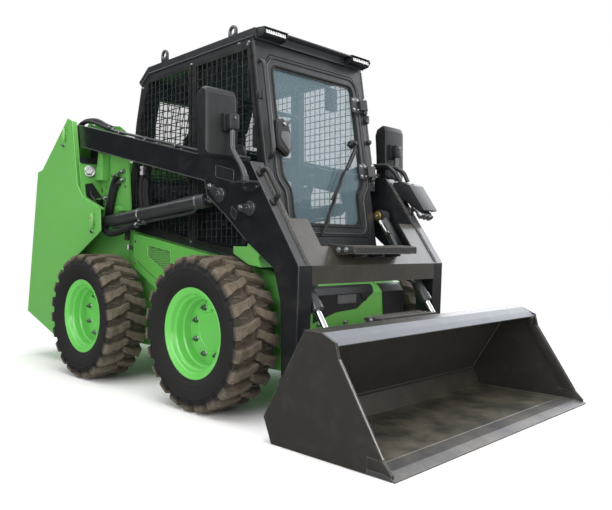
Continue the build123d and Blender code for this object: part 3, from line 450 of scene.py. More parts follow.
@dataclass(frozen=True)
class TintedGlass:
    """Toughened safety glass: a faint tint in the pane, and over what is behind it a veil of its base colour,
    a painted reflection of the sky where pale and painted shade where dark.
    """

    name: str
    colour: str
    cover: float                    # share of what is behind that the tint and the painted veil hide
    roughness: float = 0.04

    def material(self) -> Material:
        """Builds the shader.

        Returns:
            The finished material.
        """
        sh = Shader(self.name)
        base = linear(self.colour)
        made = sh.node(
            "BsdfPrincipled", Base_Color=sh.lay(
                base, toned(base, 0.8), sh.patches(300, 2.0),
            ), Alpha=self.cover,
            Roughness=self.roughness, IOR=1.52, Coat_Weight=0.5, Coat_Roughness=0.02,
        )
        sh.owner.surface_render_method = "BLENDED"
        return sh.finish(made.outputs[0])


@dataclass(frozen=True)
class SeatVinyl:
    """Embossed vinyl over foam, with a leather grain about 3 mm across."""

    name: str = "seat_vinyl"
    colour: str = "#1F2224"
    worn: str = "#34383A"

    def material(self) -> Material:
        """Builds the shader.

        Returns:
            The finished material.
        """
        sh = Shader(self.name)
        cells = sh.node("TexVoronoi", Vector=sh.place, Scale=1 / (3 * MM)).outputs["Distance"]
        leather = sh.node("Bump", Height=cells, Distance=0.25 * MM, Strength=0.6).outputs["Normal"]
        colour = sh.lay(linear(self.colour), linear(self.worn), sh.patches(80, 4.0, ends=(0.45, 0.8)))
        made = sh.node(
            "BsdfPrincipled", Base_Color=colour, Roughness=0.46, Normal=leather, IOR=1.5, Sheen_Weight=0.1,
        )
        return sh.finish(made.outputs[0])


class Finish(Enum):
    """Every finish on the machine, made once when it is first used."""

    # the paler greens given as edge colours of the green paints are painted edge highlights
    LIME = SprayedPaint("lime_enamel", "#69B356", "#9AD889", dust="#8B9A7C", coat=0.3, roughness=0.38)
    RIM_LIME = SprayedPaint("rim_enamel", "#6AC85A", "#A4F08E", dust="#A6B58F", coat=0.5, roughness=0.3)
    CHARCOAL = SprayedPaint("arm_enamel", "#15181C", "#54595F", roughness=0.33, coat=0.4, dust_share=0.06)
    CAB_BLACK = SprayedPaint("cab_enamel", "#1F2327", "#565B60", roughness=0.40, coat=0.25, dust_share=0.06)
    # the crossmember's enamel, warmer and paler than the arms' charcoal: a painted reflection of the ground
    CROSS_GREY = SprayedPaint("crossmember_painted_reflection", "#35322D", "#716E68", roughness=0.36, coat=0.35)
    BUCKET = ScuffedPaint("bucket_enamel", "#2B2A26", "#7C7466", "#A5A39E")
    # the lip's fold in a paler grey than the bucket: a painted highlight of the light that it catches
    LIP = SprayedPaint("lip_painted_highlight", "#6A6F76", "#A9ABAD", dust="#A5A29B", roughness=0.55, coat=0.0)
    EDGE_STEEL = ScuffedPaint("cutting_edge_steel", "#3C3D40", "#6F6A60", "#B5B4B0", roughness=0.38)
    CYLINDER = SprayedPaint("cylinder_enamel", "#2E3033", "#6C7075", roughness=0.30, coat=0.4)
    CHROME = Metal("hard_chrome", "#D9DADC", 0.10, 0.6, 0.004)
    ZINC = Metal("zinc_plate", "#B9BBBD", 0.34, 1.5)
    BRASS = Metal("passivated_washer", "#B59A5A", 0.36, 1.5)
    STEEL = Metal("ground_steel", "#8F9194", 0.42, 1.0, 0.03)
    TREAD = TyreRubber()
    HOSE = Moulding("hose_sleeve", "#17181A", 0.62, 2.2, 0.35)
    RUBBER = Moulding("weather_strip", "#141516", 0.70, 2.0, 0.15)
    PLASTIC = Moulding("mirror_shell", "#191C1F", 0.44, 1.2, 0.06)
    BLACK_PLASTIC = Moulding("black_moulding", "#1B1C1E", 0.42, 1.4, 0.06)
    GREY_PLASTIC = Moulding("grey_moulding", "#55585C", 0.48, 1.4, 0.06)
    MESH = SprayedPaint("guard_powder_coat", "#0A0C0D", "#1C2022", roughness=0.5, coat=0.0, edge_wear_and_highlight_share=0.2)
    LINER = Moulding("cab_liner", "#3E444A", 0.8, 3.0, 0.2)
    # the windscreen's pale veil is a painted reflection of the sky; the side glass's dark one is tint and
    # painted shade of the cab's inside
    WINDSCREEN = TintedGlass("windscreen_glass", "#7F9BA8", 0.30)
    SIDE_GLASS = TintedGlass("side_glass", "#1F3335", 0.22)
    VINYL = SeatVinyl()
    # the lenses and the headliner's roof vents glow a little: painted light
    LENS = Moulding("lamp_lens", "#F4F4EC", 0.14, 6.0, 0.3, painted_glow=0.35)
    RED_LENS = Moulding("tail_lens", "#9E1B16", 0.16, 6.0, 0.3)
    MIRROR = Metal("silvered_glass", "#E4E8EA", 0.03, 40.0, 0.0001)
    COVER = SprayedPaint("cover_enamel", "#5FAF4C", "#98D883", dust="#8B9A7C", coat=0.35, roughness=0.34)
    STEP = SprayedPaint("step_enamel", "#232425", "#A9A7A2", roughness=0.5, coat=0.1, edge_wear_and_highlight_share=0.85)
    ENGINE = SprayedPaint("engine_enamel", "#3B3D3F", "#66696C", roughness=0.5, coat=0.0)

    def material(self) -> Material:
        """The finish's material, which all its pieces share."""
        return bpy.data.materials.get(self.value.name) or self.value.material()


# Mesh making
class Maker:
    """Collects the meshes of one piece, then makes it an object that rides on a body.

    Args:
        name: the piece's name.
        body: the body that it rides on.
        finish: what its first material is.
        slot: the record's material slot, where it has one; not used.
    """

    def __init__(self, name: str, body: str, finish: Finish, slot: str | None = None) -> None:
        self.name, self.body, self.slot = name, body, slot
        self.finishes = [finish]
        self.mesh = bmesh.new()
        self.current = 0

    def use(self, finish: Finish) -> Maker:
        """What is added next has this finish."""
        if finish not in self.finishes:
            self.finishes.append(finish)
        self.current = self.finishes.index(finish)
        return self

    def _faces(self, faces: Iterable[bmesh.types.BMFace], smooth: bool = True) -> None:
        """Gives new faces the current finish and their shading."""
        for face in faces:
            face.material_index = self.current
            face.smooth = smooth

    def rings(self, rings: Sequence[Sequence[Vector]], closed: bool = False, caps: bool = True) -> None:
        """Skin over a row of rings that have as many points each.

        Args:
            rings: the rings, in order.
            closed: whether the last ring joins the first.
            caps: whether the two end rings are filled.
        """
        rows = [[self.mesh.verts.new(point) for point in ring] for ring in rings]
        size = len(rows[0])
        pairs = list(zip(rows, rows[1:] + rows[:1])) if closed else list(zip(rows, rows[1:]))
        made = []
        for low, high in pairs:
            for i in range(size):
                j = (i + 1) % size
                made.append(self.mesh.faces.new((low[i], low[j], high[j], high[i])))
        if caps and not closed:
            made.append(self.mesh.faces.new(rows[0][::-1]))
            made.append(self.mesh.faces.new(rows[-1]))
        self._faces(made)

    def tube(self, path: Sequence[Vector], radius: float, sides: int = 12, flat: float = 1.0) -> None:
        """Round tube, wire or hose along a path, with closed ends.

        Args:
            path: points of its centre line.
            radius: outer radius.
            sides: points round it.
            flat: how thick it is across, as a share of its width.
        """
        normal = UP
        rings = []
        for i, point in enumerate(path):
            way = (path[min(i + 1, len(path) - 1)] - path[max(i - 1, 0)]).normalized()
            if abs(way.dot(normal)) > 0.98:
                normal = Vector((0, 1, 0)) if abs(way.y) < 0.9 else AHEAD
            normal = (normal - way * normal.dot(way)).normalized()
            other = way.cross(normal)
            turns = [2 * math.pi * k / sides for k in range(sides)]
            rings.append(
                [point + (normal * math.cos(a) * flat + other * math.sin(a)) * radius for a in turns]
            )
        self.rings(rings)

    def lathe(self, profile: Outline, centre: Vector, axis: Vector, sides: int = 32) -> None:
        """Turned shape about an axis.

        Args:
            profile: (radius, height along the axis) points, both ends on the axis or open.
            centre: where height nought is.
            axis: direction of the axis.
            sides: points round it.
        """
        turn = Matrix.Translation(centre) @ frame_along(axis)
        rings = []
        for radius, height in profile:
            r = max(radius, 1e-5)
            points = [
                turn @ Vector(
                    (r * math.cos(2 * math.pi * k / sides), r * math.sin(2 * math.pi * k / sides), height)
                )
                for k in range(sides)
            ]
            rings.append(points)
        self.rings(rings)

    def plate(self, outline: Sequence[Vector], way: Vector, bevel: float = 0.0) -> None:
        """Plate with an outline of points, pulled along a vector, with its edges rounded.

        Args:
            outline: corners of one face, in order.
            way: from that face to the other.
            bevel: radius of the rounded edges.
        """
        part = bmesh.new()
        low = [part.verts.new(point) for point in outline]
        high = [part.verts.new(point + way) for point in outline]
        size = len(outline)
        part.faces.new(low)
        part.faces.new(high[::-1])
        for i in range(size):
            j = (i + 1) % size
            part.faces.new((low[j], low[i], high[i], high[j]))
        bmesh.ops.recalc_face_normals(part, faces=part.faces)
        if bevel:
            bmesh.ops.bevel(
                part, geom=part.edges[:], offset=bevel, segments=2, profile=0.6, affect="EDGES",
                clamp_overlap=True,
            )
        self._merge(part, smooth=False)

    def side_plate(self, outline: Outline, face_y: float, other_y: float, bevel: float = 0.0) -> None:
        """Plate with an outline of (x, z) points, between two y in either order, all in millimetres."""
        low_y, high_y = sorted((face_y, other_y))
        self.plate([mm(x, low_y, z) for x, z in outline], mm(0, high_y - low_y, 0), bevel)

    def box(self, low: Point, high: Point, bevel: float = 0.002) -> None:
        """Block between its lowest and highest corners, with rounded edges, in metres."""
        (x0, y0, z0), (x1, y1, z1) = low, high
        corners = [Vector((x, y, z0)) for x, y in ((x0, y0), (x1, y0), (x1, y1), (x0, y1))]
        self.plate(corners, Vector((0, 0, z1 - z0)), bevel)

    def bolt(self, at: Vector, axis: Vector, size_mm: float = 12.0, washer: bool = True) -> None:
        """Hexagon bolt head on a washer.

        Args:
            at: where the washer sits.
            axis: out of the surface.
            size_mm: thread size; the head is about 1.5 times as wide.
            washer: whether it has one.
        """
        size = size_mm * MM
        base = 0.0
        if washer:
            base = size * 0.16
            inner, outer = size * 0.3, size * 1.15
            self.lathe(
                [(inner, 0), (outer, 0), (size * 1.2, size * 0.04), (outer, base), (inner, base)], at, axis,
                20,
            )
        flat, top = size * 0.87, base + size * 0.62
        self.lathe(
            [(0, base), (flat, base), (flat, base + size * 0.5), (size * 0.74, top), (0, top)], at, axis, 6,
        )

    def _merge(self, part: bmesh.types.BMesh, smooth: bool) -> None:
        """Adds a finished small mesh to the piece."""
        found = {vert: self.mesh.verts.new(vert.co) for vert in part.verts}
        made = [self.mesh.faces.new([found[vert] for vert in face.verts]) for face in part.faces]
        self._faces(made, smooth)
        part.free()

    def _to_mesh(self) -> Mesh:
        """Mesh of what was added, with its materials."""
        bmesh.ops.recalc_face_normals(self.mesh, faces=self.mesh.faces)
        data = bpy.data.meshes.new(self.name)
        self.mesh.to_mesh(data)
        self.mesh.free()
        for finish in self.finishes:
            data.materials.append(finish.material())
        return data

    def mesh_only(self, angle: float = 35.0) -> Mesh:
        """Mesh for several objects to share, shaded smooth over edges that turn by less than an angle."""
        data = self._to_mesh()
        shade_by_angle(data, angle)
        return data

    def finish_piece(self, angle: float = 35.0) -> Object:
        """Makes the object.

        Args:
            angle: edges that turn by less than this, in degrees, are shaded smooth.

        Returns:
            The object, which rides on its body.
        """
        made = bpy.data.objects.new(self.name, self._to_mesh())
        bpy.context.scene.collection.objects.link(made)
        shade_by_angle(made.data, angle)
        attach(made, self.body)
        LOG.info("%s: %d faces on %s", self.name, len(made.data.polygons), self.body)
        return made


def apply_modifiers(piece: Object) -> None:
    """Replaces a piece's mesh by the mesh that its modifiers make."""
    graph = bpy.context.evaluated_depsgraph_get()
    graph.update()
    made = bpy.data.meshes.new_from_object(piece.evaluated_get(graph))
    piece.modifiers.clear()
    piece.data = made


def shade_by_angle(data: Mesh, angle: float) -> None:
    """Shades a mesh smooth, apart from its edges that turn by more than an angle in degrees."""
    mesh = bmesh.new()
    mesh.from_mesh(data)
    for face in mesh.faces:
        face.smooth = True
    limit = math.radians(angle)
    for edge in mesh.edges:
        edge.smooth = len(edge.link_faces) == 2 and edge.calc_face_angle(0.0) < limit
    mesh.to_mesh(data)
    mesh.free()


def ring_of(size: Pair, turn: Matrix, corner: float, steps: int = 5) -> list[Vector]:
    """Rounded rectangle in the XY plane of a frame.

    Args:
        size: its width and height.
        turn: the frame.
        corner: radius of its corners.
        steps: points for each corner.

    Returns:
        Its points.
    """
    half_x, half_y = size[0] / 2 - corner, size[1] / 2 - corner
    found = []
    for quarter, (x, y) in enumerate(
        ((half_x, half_y), (-half_x, half_y), (-half_x, -half_y), (half_x, -half_y))
    ):
        for step in range(steps + 1):
            a = math.pi / 2 * (quarter + step / steps)
            found.append(turn @ Vector((x + corner * math.cos(a), y + corner * math.sin(a), 0)))
    return found


# Studio
def aimed(at: Point, aim: Point) -> Matrix:
    """Place of a lamp or a sheet whose Z axis points away from what it is aimed at."""
    away = Vector(at) - Vector(aim)
    return Matrix.Translation(Vector(at)) @ frame_along(away)


@dataclass
class Studio:
    """Camera, lamps, floor and world of a product picture on white."""

    camera_at: Point = (2.9638, -2.6393, 0.7775)
    yaw: float = 137.58
    pitch: float = 0.515
    roll: float = 0.125
    lens_mm: float = 37.51
    shift: Pair = (0.0917, -0.0162)
    floor_size: float = 28.0

    def build(self) -> None:
        """Adds all of it to the scene."""
        bpy.context.scene.view_settings.view_transform = "Standard"
        self._camera()
        self._world()
        self._floor()
        # one wide overhead bank, a tall bank on the left whose mirror image lights the cab's sides,
        # and a warmer one in front of the bucket
        self._lamp("overhead_bank", (0.4, -0.6, 6.0), (0.0, 0.0, 0.6), (6.0, 6.0), 330.0, "#FFFFFF")
        self._lamp("left_bank", (0.5, 6.0, 3.2), (0.2, 0.4, 1.2), (6.0, 4.0), 240.0, "#F4F8FF")
        self._lamp("front_bank", (6.4, -1.0, 2.2), (0.6, -0.2, 0.6), (4.0, 3.2), 175.0, "#FFF6EA")
        self._lamp("right_bank", (2.2, -6.4, 3.4), (-0.2, -0.4, 0.8), (4.0, 3.4), 130.0, "#FFFFFF")
        # a black flag behind the right shoulder keeps the sky out of the right-hand faces
        self._flag((-5.4, -4.9, 1.6), (-0.4, -0.6, 1.0), (7.5, 6.0), 0.0)
        # a grey one ahead of the left shoulder does as much for the front faces, and the top stays bright
        self._flag((5.4, 5.2, 1.0), (0.4, 0.0, 1.0), (8.0, 4.0), 0.30)
        # and a gloss surface sees the yard's grey ground, not the paper
        self._flag((0.0, 0.0, -0.01), (0.0, 0.0, -1.0), (28.0, 28.0), 0.16)

    def _camera(self) -> None:
        """Camera at the measured place, looking along its measured direction."""
        data = bpy.data.cameras.new("camera")
        data.lens, data.sensor_width = self.lens_mm, 36.0
        data.shift_x, data.shift_y = self.shift
        camera = bpy.data.objects.new("camera", data)
        yaw, pitch = math.radians(self.yaw), math.radians(self.pitch)
        ahead = Vector((math.cos(pitch) * math.cos(yaw), math.cos(pitch) * math.sin(yaw), math.sin(pitch)))
        aim = ahead.to_track_quat("-Z", "Y").to_matrix().to_4x4()
        turn = aim @ Matrix.Rotation(math.radians(self.roll), 4, "Z")
        camera.matrix_world = Matrix.Translation(Vector(self.camera_at)) @ turn
        bpy.context.scene.collection.objects.link(camera)
        bpy.context.scene.camera = camera

    def _world(self) -> None:
        """White world: plain light for the surfaces, and pure white where the camera or a mirror sees it."""
        sh = Shader("white", bpy.data.worlds)
        path = sh.node("LightPath").outputs
        seen = sh.node(
            "Math", {"operation": "MAXIMUM"}, _0=path["Is Camera Ray"], _1=path["Is Transmission Ray"],
        )
        seen = sh.node("Math", {"operation": "MAXIMUM"}, _0=seen.outputs[0], _1=path["Is Glossy Ray"])
        strength = sh.node("MapRange", Value=seen.outputs[0], To_Min=0.55, To_Max=1.0).outputs["Result"]
        light = sh.node("Background", Color=linear("#FFFFFF"), Strength=strength)
        bpy.context.scene.world = sh.finish(light.outputs[0], "OutputWorld")

    def _sheet(self, name: str, size: Pair, material: Material) -> Object:
        """Flat sheet of the studio's own, of a width and height in metres."""
        mesh = bpy.data.meshes.new(name)
        x, y = size[0] / 2, size[1] / 2
        mesh.from_pydata([(-x, -y, 0), (x, -y, 0), (x, y, 0), (-x, y, 0)], [], [(0, 1, 2, 3)])
        mesh.materials.append(material)
        sheet = bpy.data.objects.new(name, mesh)
        bpy.context.scene.collection.objects.link(sheet)
        return sheet

    def _floor(self) -> None:
        """Seamless white floor that fades into the world."""
        sh = Shader("paper_floor")
        paper = sh.node("BsdfDiffuse", Color=linear("#FFFFFF"))
        white = sh.node("Emission", Color=linear("#FFFFFF"), Strength=1.0)
        # far from the machine the paper is plain white; near it, it takes the shadow
        middle = sh.node("VectorMath", {"operation": "LENGTH"}, _0=sh.place).outputs["Value"]
        far = sh.node("MapRange", Value=middle, From_Min=2.0, From_Max=5.0).outputs["Result"]
        mixed = sh.node("MixShader", _0=far, _1=paper.outputs[0], _2=white.outputs[0])
        floor = self._sheet("paper", (self.floor_size, self.floor_size), sh.finish(mixed.outputs[0]))
        floor.location = (0, 0, -0.002)
        floor.visible_glossy = False

    def _flag(self, at: Point, aim: Point, size: Pair, level: float) -> None:
        """Cloth that only a glossy surface sees, as a studio flags a shiny panel.

        Args:
            at: its middle.
            aim: what it faces.
            size: its width and height.
            level: how bright it looks, where 1 is white.
        """
        sh = Shader("flag_cloth")
        cloth = sh.finish(sh.node("Emission", Color=linear("#F4F2EE"), Strength=level).outputs[0])
        flag = self._sheet("flag", size, cloth)
        flag.matrix_world = aimed(at, aim)
        flag.visible_camera = flag.visible_diffuse = flag.visible_transmission = flag.visible_shadow = False

    def _lamp(
        self, name: str, at: Point, aim: Point, size: Pair, watts: float, tint: str,
    ) -> None:
        """Rectangular softbox.

        Args:
            name: the lamp's name.
            at: where it stands.
            aim: what it points at.
            size: its width and height.
            watts: its power.
            tint: its colour.
        """
        data = bpy.data.lights.new(name, "AREA")
        data.shape, data.size, data.size_y = "RECTANGLE", *size
        data.energy = watts
        data.color = linear(tint)[:3]
        lamp = bpy.data.objects.new(name, data)
        lamp.matrix_world = aimed(at, aim)
        bpy.context.scene.collection.objects.link(lamp)


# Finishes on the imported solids
@dataclass(frozen=True)
class Dresser:
    """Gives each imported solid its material."""

    # (start of the node's name, its finish); the first match counts
    finishes: tuple[tuple[str, Finish], ...] = (
        ("chassis", Finish.LIME),
        ("axle_housings", Finish.ENGINE),
        ("tower_", Finish.LIME),
        ("side_covers", Finish.COVER),
        ("engine", Finish.ENGINE),
        ("cab_glass", Finish.SIDE_GLASS),
        ("cab_", Finish.CAB_BLACK),
        ("work_lights", Finish.BLACK_PLASTIC),
        ("side_guards", Finish.MESH),
        ("seat", Finish.VINYL),
        ("consoles", Finish.BLACK_PLASTIC),
        ("door_glass", Finish.WINDSCREEN),
        ("door_handle", Finish.BLACK_PLASTIC),
        ("door_", Finish.CAB_BLACK),
        ("arm_rests", Finish.LIME),
        ("hood", Finish.LIME),
        ("tailgate", Finish.LIME),
        ("tail_lamps", Finish.RED_LENS),
        ("lift_arm_", Finish.CHARCOAL),
        ("crossmember", Finish.CROSS_GREY),
        ("arm_step", Finish.STEP),
        ("mirrors", Finish.PLASTIC),
        ("coupler", Finish.CHARCOAL),
        ("bucket_step", Finish.STEP),
        ("bucket", Finish.BUCKET),
        ("cutting_edge", Finish.EDGE_STEEL),
        ("tyre_", Finish.TREAD),
        ("rim_", Finish.RIM_LIME),
        ("lift_rod_", Finish.CHROME),
        ("tilt_rod_", Finish.CHROME),
        ("lift_barrel_", Finish.CYLINDER),
        ("tilt_barrel_", Finish.CYLINDER),
    )

    def finish_of(self, node: str) -> Finish:
        """Finish of a node by its name."""
        return next(finish for start, finish in self.finishes if node.startswith(start))

    def build(self, nodes: dict[str, Object]) -> None:
        """Dresses every node.

        Args:
            nodes: the frame's solids by name.
        """
        for name, node in nodes.items():
            node.data.materials.clear()
            node.data.materials.append(self.finish_of(name).material())


# Wheels
@dataclass
class Wheels:
    """Four bar-lug tyres on deep-dish rims. Drawn about the wheel's centre with +Y outward."""

    centres_x: Pair = (496.0, -610.0)
    centre_y: float = 661.0
    centre_z: float = 378.0
    radius: float = 378.0
    groove: float = 350.0           # radius of the carcass between the lugs
    half_width: float = 132.0
    pitch_count: int = 22           # lugs in each row
    bead: float = 223.0
    rim_seat: float = 208.0
    stud_count: int = 8
    stud_circle: float = 124.0
    disc_y: float = -15.0           # outer face of the disc, from the middle plane
    hub_circle: float = 92.0

    def build(self) -> None:
        """Makes one tyre and one rim, and puts them at all four corners."""
        tyre, rim = self._tyre(), self._rim()
        for end, x in zip(("front", "rear"), self.centres_x):
            for side, hand in SIDES.items():
                place = Matrix.Translation(mm(x, side * self.centre_y, self.centre_z))
                turn = Matrix.Identity(4) if side > 0 else Matrix.Rotation(math.pi, 4, "Z")
                for kind, mesh in (("tyre", tyre), ("rim", rim)):
                    piece = bpy.data.objects.new(f"{kind}_detail_{end}_{hand}", mesh)
                    bpy.context.scene.collection.objects.link(piece)
                    piece.matrix_world = place @ turn
                    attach(piece, f"wheel_{end}_{hand}")
                    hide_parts(f"{kind}_{end}_{hand}")
                LOG.info("wheel %s %s", end, hand)

    def _around(self, radius: float, angle: float, y: float) -> Vector:
        """Point at a radius and an angle about the axle, and y along it, all in mm and radians."""
        return mm(radius * math.sin(angle), y, radius * math.cos(angle))

    def _turned(self, kit: Maker, profile: Outline, steps: int) -> None:
        """Skin of a closed (radius, y) section swept round the axle."""
        rings = []
        for k in range(steps):
            angle = 2 * math.pi * k / steps
            rings.append([self._around(radius, angle, y) for radius, y in profile])
        kit.rings(rings, closed=True, caps=False)

    def _lug(self, kit: Maker, angle: float, row: int) -> None:
        """One lug: a kinked bar from beyond the middle to the shoulder, thickest where it ends.

        Args:
            kit: what it is added to.
            angle: where it stands round the tyre.
            row: -1 for the inner row, +1 for the outer one.
        """
        # (y from the middle plane, how far round it has swung, half its length round the tyre, its height)
        stations = (
            (-10.0, 30.0, 15.0, 0.0),
            (-6.0, 28.0, 18.0, 1.0),
            (26.0, 16.0, 21.0, 1.0),
            (46.0, 2.0, 22.0, 1.0),
            (74.0, -4.0, 21.0, 1.0),
            (98.0, -14.0, 25.0, 0.99),
            (117.0, -19.0, 29.0, 0.93),
            (128.0, -21.0, 30.0, 0.64),
            (130.2, -21.0, 30.0, 0.0),
        )
        rings = []
        for y, swing, half, height in stations:
            top = self.groove - 8 + (self.radius - self.groove + 8) * height
            base = self.groove - 8 - (26 if y > 110 else 0)
            draft = 7.0
            ring = []
            for offset, radius in (
                (-half - draft, base), (-half, top - 2.5), (-half + 3.0, top), (half - 3.0, top),
                (half, top - 2.5), (half + draft, base),
            ):
                swept = (swing + offset) / self.radius
                reach = min(radius, self.radius * 0.9995 if abs(offset) < half else self.radius * 0.998)
                ring.append(self._around(reach, angle + swept, row * y))
            rings.append(ring)
        kit.rings(rings)

    def _tyre(self) -> Mesh:
        """Mesh of a tyre."""
        kit = Maker("tyre_mesh", "", Finish.TREAD)
        crown, shoulder, wall = self.groove, self.half_width - 16, self.half_width - 1
        outer = [
            (crown, 0), (crown, shoulder * 0.7), (crown - 5, shoulder), (crown - 19, wall - 5),
            (crown - 33, wall), (crown - 34.5, wall + 0.6), (crown - 37, wall + 0.6), (crown - 38.5, wall),
            (300, wall), (284, wall - 1), (268, wall - 5), (256, wall - 9.5), (252, wall - 10),
            (247, wall - 11.5), (238, wall - 19), (228, wall - 23), (222, wall - 25),
            (self.rim_seat + 3, wall - 28),
        ]
        inner = [(r, -y) for r, y in reversed(outer[1:])]
        self._turned(kit, [*outer, *inner], 88)
        pitch = 2 * math.pi / self.pitch_count
        for row, start in ((1, 0.0), (-1, pitch / 2)):
            for k in range(self.pitch_count):
                self._lug(kit, start + k * pitch, row)
        # wear ribs moulded between the lugs, near the middle
        for row, start in ((1, pitch * 0.46), (-1, pitch * 0.96)):
            for k in range(self.pitch_count):
                a = start + k * pitch
                low, high = self.groove - 3, self.groove + 5
                corners = []
                for radius in (low, high):
                    corners.append([
                        self._around(radius, a + da / self.radius, row * y)
                        for da, y in ((-5, 52), (5, 52), (9, 96), (-1, 96))
                    ])
                kit.rings(corners)
        return kit.mesh_only(32)

    def _rim(self) -> Mesh:
        """Mesh of a rim with its disc, studs, nuts and valve guard."""
        kit = Maker("rim_mesh", "", Finish.RIM_LIME)
        edge, disc = self.half_width - 25, self.disc_y
        outer = [
            (self.bead - 2, edge + 0.2), (self.bead, edge - 1.5), (self.bead, edge - 4),
            (self.bead - 4, edge - 5),
            (self.rim_seat + 2, edge - 10), (self.rim_seat, edge - 16), (self.rim_seat, -edge + 16),
            (self.bead - 4, -edge + 5), (self.bead, -edge + 2), (self.bead - 2, -edge),
            (self.rim_seat - 6, -edge + 14), (self.rim_seat - 14, disc - 14),
        ]
        self._turned(kit, [
            *outer,
            (150, disc - 10), (0.5, disc - 10), (0.5, disc), (self.hub_circle - 6, disc),
            (self.hub_circle - 3, disc + 2.2), (self.hub_circle, disc + 2.2), (self.hub_circle + 3, disc),
            (150, disc), (157, disc + 3), (160, disc + 9), (162, disc + 34), (164, disc + 40),
            (171, disc + 46), (173, disc + 52), (174, disc + 76), (176, disc + 81), (184, disc + 87),
            (187, disc + 92),
            (189, disc + 104), (192, disc + 109), (198, disc + 113), (208, disc + 117),
            (self.bead - 9, edge - 0.5),
        ], 96)
        outward = Vector((0, 1, 0))
        for k in range(self.stud_count):
            angle = 2 * math.pi * (k + 0.5) / self.stud_count
            at = self._around(self.stud_circle, angle, disc)
            kit.use(Finish.ZINC)
            kit.lathe([(0.0165, -0.001), (0.0165, 0.002), (0.0150, 0.0035), (0.009, 0.0035)], at, outward, 20)
            kit.use(Finish.STEEL)
            kit.lathe(
                [
                    (0.0135, 0.002), (0.0135, 0.013), (0.0115, 0.0155), (0.0072, 0.0155), (0.0072, 0.0235),
                    (0.0062, 0.025), (0.0, 0.025),
                ],
                at, outward, 6,
            )
        # valve guard: a bent tab welded in the dish, with the valve's stem under it
        kit.use(Finish.RIM_LIME)
        angle = math.radians(-38)
        tab = [
            (176, disc + 62), (176, disc + 88), (160, disc + 90), (150, disc + 82), (150, disc + 68),
            (160, disc + 60),
        ]
        sides = []
        for da in (-15, 15):
            sides.append([self._around(radius, angle + da / 170, y) for radius, y in tab])
        kit.rings(sides)
        kit.use(Finish.BLACK_PLASTIC)
        stem = self._around(174, angle + 0.18, disc + 60)
        kit.lathe(
            [(0.006, 0), (0.006, 0.012), (0.0042, 0.014), (0.0042, 0.034), (0.003, 0.036), (0, 0.036)], stem,
            Vector((0, 1, 0.2)), 12,
        )
        return kit.mesh_only(30)


# Towers and chassis
def arc(
    centre: Pair, radius: float, start: float, end: float, steps: int = 8,
) -> list[Pair]:
    """Points on an arc in a plane.

    Args:
        centre: its centre.
        radius: its radius.
        start: where it starts, in degrees.
        end: where it ends.
        steps: spans along it.

    Returns:
        The points, both ends included.
    """
    turns = [math.radians(start + (end - start) * k / steps) for k in range(steps + 1)]
    return [(centre[0] + radius * math.cos(a), centre[1] + radius * math.sin(a)) for a in turns]


def link(
    start: Pair, end: Pair, start_radius: float, end_radius: float,
) -> list[Pair]:
    """Outline of a flat link with round ends.

    Args:
        start: centre of one end.
        end: centre of the other.
        start_radius: radius there.
        end_radius: radius at the other end.

    Returns:
        Its points, in order.
    """
    way = math.degrees(math.atan2(end[1] - start[1], end[0] - start[0]))
    return [*arc(start, start_radius, way + 90, way + 270), *arc(end, end_radius, way - 90, way + 90)]


